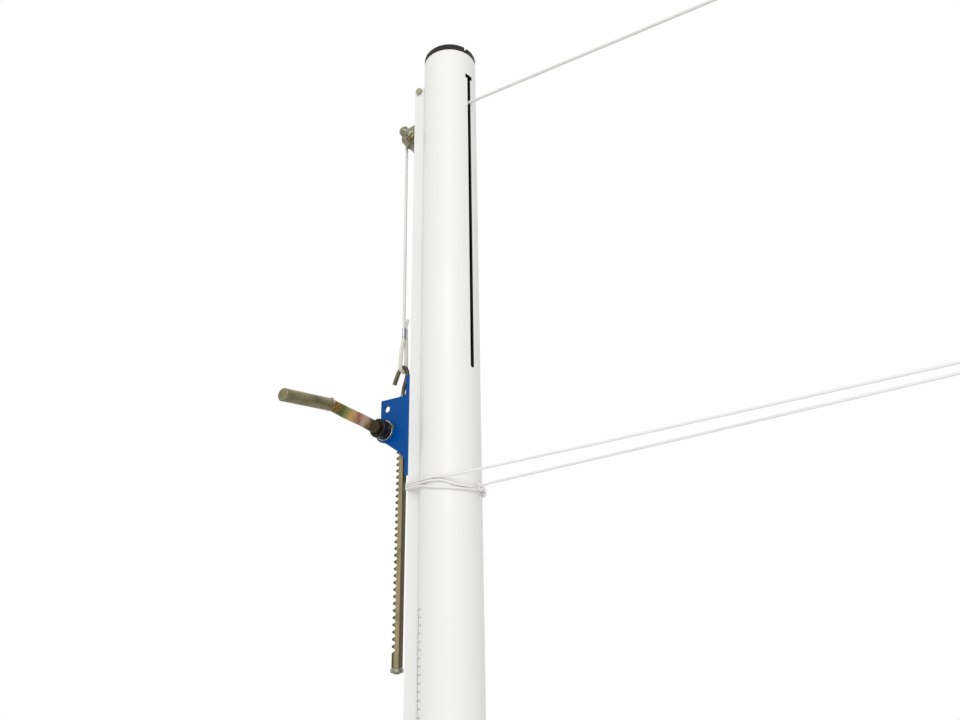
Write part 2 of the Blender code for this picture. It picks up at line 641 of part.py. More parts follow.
def make_axle(parent):
    """Axle bolt with its head on the far side and two nuts on the crank's side."""
    washer_y = -(BRACKET_OUTER + GAP)
    nut_y = washer_y - WASHER_THICKNESS - GAP
    lock_y = nut_y - NUT_HEIGHT - GAP
    tip_y = lock_y - LOCK_NUT_HEIGHT - AXLE_TAIL
    head_y = BRACKET_OUTER + GAP
    bm = bmesh.new()
    add_hexagon(bm, PULLEY_AXIS, "Y", head_y, head_y + AXLE_HEAD_HEIGHT, AXLE_HEAD_FLATS)
    bolt = add_object("pulley_axle_bolt", bm, "yellow_zinc", parent=parent)
    shank = bmesh.new()
    add_cylinder(shank, PULLEY_AXIS, "Y", tip_y, head_y + AXLE_HEAD_HEIGHT / 2, AXLE_RADIUS, 24)
    boolean(bolt, shank, "UNION")

    def bored(name, bm, start, end, finish):
        made = add_object(name, bm, finish, parent=parent)
        bore = bmesh.new()
        add_cylinder(bore, PULLEY_AXIS, "Y", start - 0.005, end + 0.005, AXLE_RADIUS + GAP, 24)
        boolean(made, bore)

    bm = bmesh.new()
    add_cylinder(bm, PULLEY_AXIS, "Y", washer_y - WASHER_THICKNESS, washer_y, AXLE_HEAD_FLATS * 0.6, 28)
    bored("pulley_washer", bm, washer_y - WASHER_THICKNESS, washer_y, "yellow_zinc")
    bm = bmesh.new()
    add_hexagon(bm, PULLEY_AXIS, "Y", nut_y - NUT_HEIGHT, nut_y, AXLE_HEAD_FLATS)
    bored("pulley_nut", bm, nut_y - NUT_HEIGHT, nut_y, "yellow_zinc")
    bm = bmesh.new()
    add_hexagon(bm, PULLEY_AXIS, "Y", lock_y - LOCK_NUT_HEIGHT, lock_y, AXLE_HEAD_FLATS)
    bored("pulley_lock_nut", bm, lock_y - LOCK_NUT_HEIGHT, lock_y, "bright_zinc")


# ---------------------------------------------------------------- tensioner housing
def make_housing(parent):
    """Bent sheet-steel U: a web on the rail and two cheeks that carry the pinion."""
    flange_x = SEAT_X - HOUSING_FLANGE_DEPTH
    edge_x = SEAT_X - HOUSING_DEPTH
    cheek_top = HOUSING_TOP - CHEEK_TOP_OFFSET
    cheek_low = cheek_top - CHEEK_EDGE_LENGTH
    slope_x = flange_x - 0.0125
    slope_low = cheek_low - CHEEK_SLOPE_FALL
    corners = [(SEAT_X, HOUSING_BOTTOM, 0), (flange_x, HOUSING_BOTTOM, 0.002),
               (flange_x, slope_low - 0.013, 0.012), (slope_x, slope_low, 0.012),
               (edge_x, cheek_low, 0.004), (edge_x, cheek_top, 0.002),
               (flange_x, cheek_top, 0.005), (flange_x, HOUSING_TOP, 0.002),
               (SEAT_X, HOUSING_TOP, 0)]
    bm = bmesh.new()
    add_prism(bm, rounded(corners), "Y", -HOUSING_HALF, HOUSING_HALF)
    bends = [edge for edge in bm.edges
             if all(abs(vert.co.x - SEAT_X) < 1e-6 for vert in edge.verts)
             and abs(edge.verts[0].co.y - edge.verts[1].co.y) < 1e-6]
    bmesh.ops.bevel(bm, geom=bends, offset=HOUSING_FLANGE_DEPTH / 3, segments=3, profile=0.5,
                    affect="EDGES", material=-1)
    housing = add_object("tensioner_housing", bm, "blue_powder_coat", parent=parent)

    far_x = edge_x - HOUSING_DEPTH / 2
    web_x = SEAT_X - HOUSING_WEB
    inside = bmesh.new()
    add_box(inside, (far_x, -HOUSING_INNER, HOUSING_BOTTOM - 0.01),
            (web_x, HOUSING_INNER, HOUSING_TOP + 0.01))
    bends = [edge for edge in inside.edges
             if all(abs(vert.co.x - web_x) < 1e-6 for vert in edge.verts)
             and abs(edge.verts[0].co.y - edge.verts[1].co.y) < 1e-6]
    bmesh.ops.bevel(inside, geom=bends, offset=0.0012, segments=2, profile=0.5, affect="EDGES",
                    material=-1)
    boolean(housing, inside)

    boss = bmesh.new()
    add_cylinder(boss, PINION_AXIS, "Y", -HOUSING_HALF - BOSS_HEIGHT,
                 -HOUSING_HALF + HOUSING_SHEET / 2, BOSS_RADIUS, 40)
    boolean(housing, boss, "UNION")

    holes = bmesh.new()
    bush = SHAFT_RADIUS + GAP + BUSH_WALL + GAP
    add_cylinder(holes, PINION_AXIS, "Y", -HOUSING_WIDTH, HOUSING_WIDTH, bush, 32)
    add_cylinder(holes, lock_hole_centre(), "Y", -HOUSING_WIDTH, HOUSING_WIDTH, LOCK_HOLE_RADIUS, 24)
    add_cylinder(holes, brake_pin_centre(), "Y", -HOUSING_WIDTH, -HOUSING_HALF, BRAKE_PIN_RADIUS + GAP, 16)
    for z in housing_screw_heights():
        add_cylinder(holes, (0, 0, z), "X", web_x - 0.003, SEAT_X + 0.003, SLIDE_SCREW_RADIUS + GAP, 20)
    boolean(housing, holes)


def lock_hole_centre():
    return PINION_AXIS + Vector((0.0009, 0.0, 0.0347))


def brake_pin_centre():
    reach = (BRAKE_RING_RADIUS + BRAKE_TAB_REACH) / 2 - 0.0004
    return PINION_AXIS + Vector((reach * math.cos(BRAKE_TAB_ANGLE), 0.0,
                                 reach * math.sin(BRAKE_TAB_ANGLE)))


def housing_screw_heights():
    return (HOUSING_TOP - HOUSING_SCREW_INSET, HOUSING_BOTTOM + HOUSING_SCREW_INSET)


def make_rack_guide(parent):
    """Acetal block with a channel that backs the rack against the pinion's push."""
    back = SEAT_X - HOUSING_WEB - GAP
    floor = RACK_BACK_X + GAP
    wall = floor - 0.0035
    half = HOUSING_INNER - GAP
    channel = RACK_WIDTH / 2 + GAP
    edge = 0.0012
    outline = [(back, -half + edge), (back - edge, -half), (wall, -half), (wall, -channel),
               (floor, -channel), (floor, channel), (wall, channel), (wall, half),
               (back - edge, half), (back, half - edge)]
    middle = PINION_AXIS.z
    bm = bmesh.new()
    add_prism(bm, outline, "Z", middle - 0.024, middle + 0.024)
    guide = add_object("rack_guide", bm, "acetal", parent=parent)
    pin_hole = bmesh.new()
    x = (back + floor) / 2
    for offset in (-0.014, 0.014):
        add_cylinder(pin_hole, (x, 0, middle + offset), "Y", -half * 1.2, half * 1.2,
                     SLIDE_SCREW_RADIUS * 0.5 + GAP, 16)
    boolean(guide, pin_hole)


def make_bushes(parent):
    """Plain bearing in the near cheek and its boss, flanged bearing in the far cheek."""
    bore = SHAFT_RADIUS + GAP
    wall = bore + BUSH_WALL
    outer = -(HOUSING_HALF + BOSS_HEIGHT)
    bm = bmesh.new()
    add_turned(bm, [(bore, outer), (bore, -HOUSING_INNER), (wall, -HOUSING_INNER), (wall, outer)],
               PINION_AXIS, "Y", 28)
    add_object("shaft_bush_near", bm, "bronze", parent=parent)
    seat = HOUSING_HALF + GAP
    face = seat + BUSH_FLANGE
    bm = bmesh.new()
    add_turned(bm, [(bore, face), (bore, HOUSING_INNER), (wall, HOUSING_INNER), (wall, seat),
                    (BUSH_FLANGE_RADIUS, seat), (BUSH_FLANGE_RADIUS, face)], PINION_AXIS, "Y", 28)
    add_object("shaft_bush_far", bm, "bronze", parent=parent)


# ---------------------------------------------------------------- rack and pinion
def involute_outline():
    """Pinion outline in the XZ plane about its own centre, one tooth facing +X."""
    base = PITCH_RADIUS * math.cos(PRESSURE_ANGLE)
    tip = PITCH_RADIUS + ADDENDUM * MODULE
    root = PITCH_RADIUS - (ADDENDUM + ROOT_CLEARANCE) * MODULE
    spread = math.tan(PRESSURE_ANGLE) - PRESSURE_ANGLE
    half_tooth = (RACK_PITCH / 2 - BACKLASH) / 2 / PITCH_RADIUS

    def half_angle(radius):
        inner = max(radius, base)
        bend = math.acos(base / inner)
        return half_tooth + spread - (math.tan(bend) - bend)

    radii = [root] + [base + (tip - base) * step / 4 for step in range(5)]
    outline = []
    for tooth in range(PINION_TEETH):
        middle = math.tau * tooth / PINION_TEETH
        for radius in radii:
            outline.append((radius, middle - half_angle(radius)))
        for radius in reversed(radii):
            outline.append((radius, middle + half_angle(radius)))
    return [(radius * math.cos(turn), radius * math.sin(turn)) for radius, turn in outline]


def make_pinion(parent):
    """Pinion cut in one with its shaft, squared at one end for the crank's hub."""
    half = PINION_WIDTH / 2
    outline = [(PINION_AXIS.x + a, PINION_AXIS.z + b) for a, b in involute_outline()]
    bm = bmesh.new()
    add_prism(bm, outline, "Y", -half, half)
    pinion = add_object("pinion_shaft", bm, "machined_steel", PINION_AXIS, parent)
    collar = HOUSING_INNER - GAP
    near_end = HUB_Y - HUB_LENGTH + 0.002
    far_end = COLLAR_Y + COLLAR_WIDTH + 0.001
    shoulder = SHAFT_RADIUS + 0.003
    edge = 0.0006
    shaft = bmesh.new()
    add_turned(shaft, [(0, far_end), (0, BRAKE_RING_Y), (SHAFT_RADIUS, BRAKE_RING_Y),
                       (SHAFT_RADIUS, -collar), (shoulder, -collar), (shoulder, collar),
                       (SHAFT_RADIUS, collar), (SHAFT_RADIUS, far_end - edge),
                       (SHAFT_RADIUS - edge, far_end)], PINION_AXIS, "Y", 28)
    boolean(pinion, shaft, "UNION")
    square = SHAFT_SQUARE / 2
    end = bmesh.new()
    add_box(end, (PINION_AXIS.x - square, near_end, PINION_AXIS.z - square),
            (PINION_AXIS.x + square, BRAKE_RING_Y + 0.004, PINION_AXIS.z + square))
    boolean(pinion, end, "UNION")


def make_rack(parent):
    """Square bar with stub teeth towards the pinion."""
    addendum = ADDENDUM * MODULE
    depth = (2 * ADDENDUM + ROOT_CLEARANCE) * MODULE
    pitch_x = RACK_TIP_X + addendum
    root_x = RACK_TIP_X + depth
    slope = math.tan(PRESSURE_ANGLE)
    half = (RACK_PITCH / 2 - BACKLASH) / 2
    tip_half = half - addendum * slope
    root_half = half + (root_x - pitch_x) * slope
    first = math.ceil((RACK_BOTTOM + RACK_PLAIN_FOOT - PINION_AXIS.z) / RACK_PITCH - 0.5)
    last = math.floor((RACK_TOP - RACK_PLAIN_TOP - PINION_AXIS.z) / RACK_PITCH - 0.5)
    outline = [(RACK_BACK_X, RACK_TOP), (RACK_BACK_X, RACK_BOTTOM), (RACK_TIP_X, RACK_BOTTOM)]
    for tooth in range(first, last + 1):
        middle = PINION_AXIS.z + (tooth + 0.5) * RACK_PITCH
        if tooth > first:
            outline += [(root_x, middle - root_half), (RACK_TIP_X, middle - tip_half)]
        if tooth < last:
            outline += [(RACK_TIP_X, middle + tip_half), (root_x, middle + root_half)]
    outline.append((RACK_TIP_X, RACK_TOP))
    bm = bmesh.new()
    add_prism(bm, outline, "Y", -RACK_WIDTH / 2, RACK_WIDTH / 2)
    origin = Vector((RACK_AXIS_X, 0, RACK_TOP))
    rack = add_object("rack_bar", bm, "yellow_zinc", origin, parent)
    sockets = bmesh.new()
    add_cylinder(sockets, (RACK_AXIS_X, 0, 0), "Z", RACK_TOP - HOOK_SOCKET_DEPTH - GAP,
                 RACK_TOP + 0.01, HOOK_RADIUS + GAP, 20)
    add_cylinder(sockets, (RACK_AXIS_X, 0, 0), "Z", RACK_BOTTOM - 0.01,
                 RACK_BOTTOM + STOP_SCREW_REACH + GAP, STOP_SCREW_RADIUS + GAP, 16)
    boolean(rack, sockets)

    bore = STOP_SCREW_RADIUS + GAP
    top = RACK_BOTTOM - GAP
    low = top - STOP_PLATE_THICKNESS
    radius = STOP_PLATE_RADIUS
    chamfer = 0.0008
    bm = bmesh.new()
    add_turned(bm, [(bore, top), (bore, low), (radius - chamfer, low), (radius, low + chamfer),
                    (radius, top - chamfer), (radius - chamfer, top)], (RACK_AXIS_X, 0, 0), "Z", 28)
    add_object("rack_stop_plate", bm, "bright_zinc", parent=parent)

    head = low - GAP
    bm = bmesh.new()
    add_hexagon(bm, (RACK_AXIS_X, 0, 0), "Z", head - STOP_SCREW_HEAD, head, STOP_SCREW_FLATS)
    screw = add_object("rack_stop_screw", bm, "bright_zinc", parent=parent)
    shank = bmesh.new()
    add_cylinder(shank, (RACK_AXIS_X, 0, 0), "Z", head - STOP_SCREW_HEAD / 2,
                 RACK_BOTTOM + STOP_SCREW_REACH, STOP_SCREW_RADIUS, 16)
    boolean(screw, shank, "UNION")


def hook_route():
    """Hook's centre line in the XZ plane: shank, lean, crown and free leg."""
    x = RACK_AXIS_X
    z = RACK_TOP
    crown = z + HOOK_APEX_RISE
    shank = [(x, z - HOOK_SOCKET_DEPTH), (x, z), (x, z + 0.0080), (x + 0.0012, z + 0.0150),
             (x + 0.0050, z + 0.0270), (x + 0.0075, z + 0.0365), (x + 0.0070, crown - 0.0080)]
    bend = [(CABLE_X + 0.0057, crown - 0.0032), (CABLE_X + 0.0030, crown - 0.0007), (CABLE_X, crown),
            (CABLE_X - 0.0031, crown - 0.0007), (CABLE_X - 0.0061, crown - 0.0034)]
    leg = [(CABLE_X - 0.0095, crown - 0.0087), (CABLE_X - 0.0130, crown - 0.0167),
           (CABLE_X - 0.0165, crown - 0.0255)]
    return shank + bend + leg


def make_hook(parent):
    route = [Vector((x, 0, z)) for x, z in hook_route()]
    add_tube("rack_hook", smooth_route(route, HOOK_RADIUS * 1.6), HOOK_RADIUS, "yellow_zinc", 3, parent)
    x = route[0].x
    bm = bmesh.new()
    low = RACK_TOP + GAP
    add_hexagon(bm, (x, 0, 0), "Z", low, low + HOOK_NUT_HEIGHT, HOOK_NUT_FLATS)
    nut = add_object("hook_nut", bm, "bright_zinc", parent=parent)
    bore = bmesh.new()
    add_cylinder(bore, (x, 0, 0), "Z", low - 0.005, low + HOOK_NUT_HEIGHT + 0.005, HOOK_RADIUS + GAP, 20)
    boolean(nut, bore)


# ---------------------------------------------------------------- shaft collar and hub brake
def make_collar(parent):
    """Collar on the shaft's far end, held by a set screw."""
    end = COLLAR_Y + COLLAR_WIDTH
    bore = SHAFT_RADIUS + GAP
    edge = 0.0006
    bm = bmesh.new()
    add_turned(bm, [(bore, end), (bore, COLLAR_Y), (COLLAR_RADIUS, COLLAR_Y),
                    (COLLAR_RADIUS, end - edge), (COLLAR_RADIUS - edge, end)], PINION_AXIS, "Y", 28)
    collar = add_object("shaft_collar", bm, "bright_zinc", PINION_AXIS, parent)
    middle = COLLAR_Y + COLLAR_WIDTH / 2
    centre = (PINION_AXIS.x, middle, 0)
    hole = bmesh.new()
    add_cylinder(hole, centre, "Z", PINION_AXIS.z, PINION_AXIS.z + 2 * COLLAR_RADIUS,
                 COLLAR_SCREW_RADIUS + GAP, 16)
    boolean(collar, hole)
    bm = bmesh.new()
    add_cylinder(bm, centre, "Z", PINION_AXIS.z + bore, PINION_AXIS.z + COLLAR_RADIUS - 0.0004,
                 COLLAR_SCREW_RADIUS, 16)
    screw = add_object("collar_set_screw", bm, "black_oxide_steel", PINION_AXIS, parent)
    socket = bmesh.new()
    add_hexagon(socket, centre, "Z", PINION_AXIS.z + COLLAR_RADIUS - 0.0022,
                PINION_AXIS.z + 2 * COLLAR_RADIUS, 0.0025)
    boolean(screw, socket)


def make_brake_ring(parent):
    """Fixed ring between the boss and the hub, held from turning by a tab and a pin."""
    near, far = BRAKE_RING_Y - BRAKE_RING_WIDTH, BRAKE_RING_Y
    edge = 0.0004
    radius = BRAKE_RING_RADIUS
    bore = SHAFT_RADIUS + GAP
    bm = bmesh.new()
    add_turned(bm, [(bore, far), (bore, near), (radius - edge, near), (radius, near + edge),
                    (radius, far - edge), (radius - edge, far)], PINION_AXIS, "Y", 40)
    ring = add_object("brake_ring", bm, "bright_zinc", PINION_AXIS, parent)
    half = BRAKE_TAB_WIDTH / 2
    tab = bmesh.new()
    verts = add_box(tab, (radius - 0.004, near, -half), (BRAKE_TAB_REACH, far, half))
    bmesh.ops.rotate(tab, verts=verts, matrix=Matrix.Rotation(-BRAKE_TAB_ANGLE, 3, "Y"))
    bmesh.ops.translate(tab, verts=verts, vec=PINION_AXIS)
    boolean(ring, tab, "UNION")
    hole = bmesh.new()
    add_cylinder(hole, brake_pin_centre(), "Y", near - 0.01, far + 0.01, BRAKE_PIN_RADIUS + GAP, 16)
    boolean(ring, hole)
    bm = bmesh.new()
    add_cylinder(bm, brake_pin_centre(), "Y", near - 0.0006, -HOUSING_HALF - GAP, BRAKE_PIN_RADIUS, 16)
    add_object("brake_ring_pin", bm, "bright_zinc", PINION_AXIS, parent)


# ---------------------------------------------------------------- crank
def make_crank(parent):
    """Hub with its brake lining, S-bent bar and grip, all about the pinion's axis."""
    square = SHAFT_SQUARE / 2 + GAP
    end = HUB_Y - HUB_LENGTH
    waist = HUB_RADIUS - HUB_GROOVE
    spring_y = HUB_Y - LINING_THICKNESS - GAP
    recess = HUB_Y - LINING_THICKNESS - BRAKE_SPRING_THICKNESS - 2 * GAP
    mouth = LINING_RADIUS + GAP
    bm = bmesh.new()
    add_turned(bm, [(0, recess), (0, end), (waist, end), (HUB_RADIUS, end + HUB_GROOVE),
                    (HUB_RADIUS, HUB_Y - 0.0080), (waist, HUB_Y - 0.0070), (waist, HUB_Y - 0.0050),
                    (HUB_RADIUS, HUB_Y - 0.0040), (HUB_RADIUS, HUB_Y), (mouth, HUB_Y),
                    (mouth, recess)], PINION_AXIS, "Y", 40)
    hub = add_object("crank_hub", bm, "black_oxide_steel", PINION_AXIS, parent)
    bore = bmesh.new()
    add_box(bore, (PINION_AXIS.x - square, end + 0.0015, PINION_AXIS.z - square),
            (PINION_AXIS.x + square, HUB_Y + 0.01, PINION_AXIS.z + square))
    boolean(hub, bore)

    ring = SHAFT_RADIUS + GAP
    low = HUB_Y - LINING_THICKNESS
    bm = bmesh.new()
    add_turned(bm, [(ring, HUB_Y), (ring, low), (LINING_RADIUS, low), (LINING_RADIUS, HUB_Y)],
               PINION_AXIS, "Y", 32)
    add_object("brake_lining", bm, "brake_lining", PINION_AXIS, parent)
    low = spring_y - BRAKE_SPRING_THICKNESS
    dish = 0.0003
    bm = bmesh.new()
    add_turned(bm, [(ring, spring_y - dish), (ring, low), (BRAKE_SPRING_RADIUS, low + dish),
                    (BRAKE_SPRING_RADIUS, spring_y)], PINION_AXIS, "Y", 32)
    add_object("brake_spring", bm, "spring_steel", PINION_AXIS, parent)

    add_crank_bar(parent)

    outward = Vector((-math.cos(CRANK_ANGLE), 0, math.sin(CRANK_ANGLE)))
    grip_axis = PINION_AXIS + outward * CRANK_RADIUS
    start = BAR_Y - CRANK_OFFSET - CRANK_BAR_THICKNESS - GAP
    tip = start - GRIP_LENGTH
    neck = GRIP_RADIUS - GRIP_CHAMFER
    bm = bmesh.new()
    add_turned(bm, [(0, start), (0, tip), (neck, tip), (GRIP_RADIUS, tip + GRIP_CHAMFER),
                    (GRIP_RADIUS, start - GRIP_CHAMFER), (neck, start)], grip_axis, "Y", 28)
    for vert in bm.verts:
        reach = start - vert.co.y
        vert.co.x -= reach * GRIP_LEAN
        vert.co.z -= reach * GRIP_FALL
    add_object("crank_grip", bm, "yellow_zinc", PINION_AXIS, parent)


def add_crank_bar(parent):
    """Flat bar with round ends, bent twice so that the grip stands clear of the post."""
    half = CRANK_BAR_WIDTH / 2
    plan = arc((0, 0), half, math.pi / 2, 3 * math.pi / 2, 10)
    plan += arc((CRANK_RADIUS, 0), half, -math.pi / 2, math.pi / 2, 10)
    bm = bmesh.new()
    bm.faces.new([bm.verts.new((s, 0, w)) for s, w in plan])
    cuts = 12
    for index in range(1, cuts):
        s = CRANK_BEND_START + CRANK_BEND_RUN * (index - 1) / (cuts - 2)
        bmesh.ops.bisect_plane(bm, geom=bm.verts[:] + bm.edges[:] + bm.faces[:],
                               plane_co=(s, 0, 0), plane_no=(1, 0, 0))
    grown = bmesh.ops.extrude_face_region(bm, geom=bm.faces[:])
    moved = [item for item in grown["geom"] if isinstance(item, bmesh.types.BMVert)]
    bmesh.ops.translate(bm, verts=moved, vec=(0, -CRANK_BAR_THICKNESS, 0))
    for vert in bm.verts:
        share = min(max((vert.co.x - CRANK_BEND_START) / CRANK_BEND_RUN, 0.0), 1.0)
        vert.co.y -= CRANK_OFFSET * (0.5 - 0.5 * math.cos(math.pi * share))
    bmesh.ops.scale(bm, verts=bm.verts, vec=(-1, 1, 1))
    place = Matrix.Translation(PINION_AXIS + Vector((0, BAR_Y, 0)))
    bmesh.ops.transform(bm, matrix=place @ Matrix.Rotation(CRANK_ANGLE, 4, "Y"), verts=bm.verts)
    add_object("crank_arm", bm, "yellow_zinc", PINION_AXIS, parent)


# ---------------------------------------------------------------- cable
def make_cables(carriage, rack):
    """One coated cable: eye and ferrule at the hook, pulley, post, then out to the net."""
    crown = RACK_TOP + HOOK_APEX_RISE
    eye_low = crown - HOOK_RADIUS - SLEEVE_RADIUS - GAP - EYE_SEAT
    ferrule_top = POST_TOP - FERRULE_TOP_DROP
    ferrule_low = ferrule_top - FERRULE_LENGTH
    beside = 2 * CABLE_RADIUS + GAP
    side = EYE_HALF_WIDTH
    eye = [(-0.0006, ferrule_low - GAP), (-0.0012, ferrule_low - 0.006), (-side * 0.70, ferrule_low - 0.022),
           (-side * 0.94, eye_low + side * 1.6), (-side, eye_low + side * 0.9),
           (-side * 0.72, eye_low + side * 0.3), (0, eye_low), (side * 0.72, eye_low + side * 0.3),
           (side, eye_low + side * 0.9), (side * 0.98, eye_low + side * 1.6),
           (side * 0.92, ferrule_low - 0.022), (beside + 0.0010, ferrule_low - 0.006),
           (beside + 0.0006, ferrule_low - GAP)]
    route = [Vector((CABLE_X, y, z)) for y, z in eye]
    add_tube("hook_eye", smooth_route(route, SLEEVE_RADIUS * 2), SLEEVE_RADIUS, "white_coated_cable",
             2, rack)

    bm = bmesh.new()
    back, front = CABLE_X - FERRULE_HALF_DEPTH, CABLE_X + FERRULE_HALF_DEPTH
    left, right = beside / 2 - FERRULE_HALF_WIDTH, beside / 2 + FERRULE_HALF_WIDTH
    outline = rounded([(back, left, 0.0035), (front, left, 0.0035), (front, right, 0.0035),
                       (back, right, 0.0035)])
    add_prism(bm, outline, "Z", ferrule_low, ferrule_top)
    add_object("hook_ferrule", bm, "pressed_aluminium", parent=rack)

    tail = [(0, ferrule_top + GAP), (0.0002, ferrule_top + 0.007), (0.0022, ferrule_top + 0.0125),
            (0.0030, ferrule_top + 0.0165)]
    add_tube("cable_tail", smooth_route([Vector((CABLE_X + x, beside, z)) for x, z in tail],
                                        CABLE_RADIUS * 2), CABLE_RADIUS, "white_coated_cable", 2, rack)

    leaving = Vector((PULLEY_AXIS.x - PULLEY_PITCH_RADIUS, 0, PULLEY_AXIS.z - GAP))
    add_tube("tension_cable", [leaving, Vector((CABLE_X, 0, ferrule_top + GAP))], CABLE_RADIUS,
             "white_coated_cable", 2, carriage)

    turn = [Vector((PULLEY_AXIS.x - PULLEY_PITCH_RADIUS * math.cos(angle), 0,
                    PULLEY_AXIS.z + PULLEY_PITCH_RADIUS * math.sin(angle)))
            for angle in [math.radians(step) for step in range(0, 91, 10)]]
    turn.append(SLOT_EXIT)
    add_tube("pulley_cable", turn, CABLE_RADIUS, "white_coated_cable", 2, carriage)

    ends = [NET_FRAME @ Vector((reach, 0, 0)) for reach in (2 * GAP, NET_CABLE_LENGTH)]
    add_tube("net_cable", ends, CABLE_RADIUS, "white_coated_cable", 2, carriage)
    make_net_eye(carriage)


def make_net_eye(carriage):
    """Ferrule and eye on the net end of the cable, lying in the net's plane."""
    start = NET_CABLE_LENGTH + GAP
    bm = bmesh.new()
    add_box(bm, (start, -FERRULE_HALF_DEPTH, -FERRULE_HALF_WIDTH),
            (start + FERRULE_LENGTH, FERRULE_HALF_DEPTH, FERRULE_HALF_WIDTH))
    ends = [edge for edge in bm.edges if abs(edge.verts[0].co.x - edge.verts[1].co.x) > FERRULE_LENGTH / 2]
    bmesh.ops.bevel(bm, geom=ends, offset=0.0030, segments=4, profile=0.5, affect="EDGES", material=-1)
    bmesh.ops.transform(bm, matrix=NET_FRAME, verts=bm.verts)
    add_object("net_ferrule", bm, "pressed_aluminium", parent=carriage)

    lead = SLEEVE_RADIUS + GAP / 2
    base = start + FERRULE_LENGTH + GAP
    tip = base + NET_EYE_LENGTH
    side = EYE_HALF_WIDTH
    eye = [(base, -lead), (base + 0.006, -lead), (base + 0.022, -side * 0.7),
           (tip - side * 1.3, -side), (tip - side * 0.3, -side * 0.72), (tip, 0)]
    eye += [(x, -z) for x, z in reversed(eye[:-1])]
    route = [NET_FRAME @ Vector((x, 0, z)) for x, z in eye]
    add_tube("net_eye", smooth_route(route, SLEEVE_RADIUS * 2), SLEEVE_RADIUS, "white_coated_cable",
             2, carriage)


# ---------------------------------------------------------------- lower cord
def on_post(degrees, drop, lift=0.0):
    """A point of the cord on the post's surface, lifted over another strand if asked."""
    reach = POST_RADIUS + 2 * GAP + CORD_RADIUS + lift
    turn = math.radians(degrees)
    return Vector((reach * math.cos(turn), reach * math.sin(turn), POST_TOP - drop))


def round_rail(side, drop):
    """Points round one outer corner of the rail, on the given side."""
    half = RAIL_WIDTH / 2
    reach = CORD_RADIUS + 1.5 * GAP
    z = POST_TOP - drop
    turns = [math.radians(step) for step in (90, 60, 30, 0)]
    return [Vector((RAIL_FACE_X - reach * math.cos(turn), side * (half + reach * math.sin(turn)), z))
            for turn in turns]


def post_turn(near, rail, far):
    """One turn: down the crank's side, round the rail and back on the far side."""
    back = [on_post(degrees, drop) for degrees, drop in far]
    return ([on_post(degrees, drop) for degrees, drop in near] + round_rail(-1, rail[0])
            + list(reversed(round_rail(1, rail[1]))) + back)


def make_lower_cord(parent):
    """Cord from the knot out to the net and back, then three turns round the post."""
    out = [(0.0565, -0.0030, 0.7554), (0.0682, -0.0028, 0.7536), (0.3000, -0.0018, 0.7400),
           (0.5608, -0.0011, 0.7240), (0.6369, -0.0005, 0.7193), (0.6800, -0.0004, 0.7168),
           (0.6885, -0.0004, 0.7152), (0.6925, -0.0004, 0.7110), (0.6885, -0.0006, 0.7068),
           (0.6800, -0.0012, 0.7062), (0.6394, -0.0040, 0.7089), (0.5638, -0.0090, 0.7137),
           (0.2449, -0.0302, 0.7337), (0.0817, -0.0412, 0.7431), (0.0250, -0.0450, 0.7462)]
    out = [Vector((x, y, POST_TOP - drop)) for x, y, drop in out]
    step = CORD_RADIUS * 7
    upper = post_turn([(-84, 0.7446), (-102, 0.7449), (-119, 0.7446)], (0.7424, 0.7440),
                      [(119, 0.7460), (90, 0.7480), (60, 0.7505), (30, 0.7530), (16, 0.7540)])
    add_tube("lower_cord", out + smooth_route(upper, step), CORD_RADIUS, "white_braided_cord", 2,
             parent)

    middle = post_turn([(-17, 0.7578), (-30, 0.7576), (-46, 0.7562), (-60, 0.7528), (-74, 0.7497),
                        (-93, 0.7489), (-119, 0.7486)], (0.7466, 0.7482),
                       [(119, 0.7500), (90, 0.7520), (60, 0.7550), (30, 0.7580), (0, 0.7605)])
    lower = post_turn([(-16, 0.7615), (-45, 0.7616), (-74, 0.7598), (-95, 0.7570), (-119, 0.7530)],
                      (0.7506, 0.7525),
                      [(119, 0.7542), (90, 0.7562), (60, 0.7592), (30, 0.7622), (14, 0.7636)])
    add_tube("lower_cord_turns", smooth_route(middle + lower, step), CORD_RADIUS,
             "white_braided_cord", 2, parent)

    bm = bmesh.new()
    bmesh.ops.create_uvsphere(bm, u_segments=20, v_segments=12, radius=1.0)
    bmesh.ops.scale(bm, verts=bm.verts, vec=(0.0034, 0.0078, 0.0058))
    bmesh.ops.translate(bm, verts=bm.verts, vec=on_post(-2, 0.7558, 0.0048))
    add_object("cord_knot", bm, "white_braided_cord", parent=parent)
    tail = [on_post(12, 0.7575, 0.0020), on_post(15, 0.7600, 0.0040), on_post(15, 0.7650, 0.0040),
            on_post(16, 0.7690, 0.0010)]
    add_tube("cord_tail", smooth_route(tail, 0.004), CORD_RADIUS, "white_braided_cord", 2, parent)


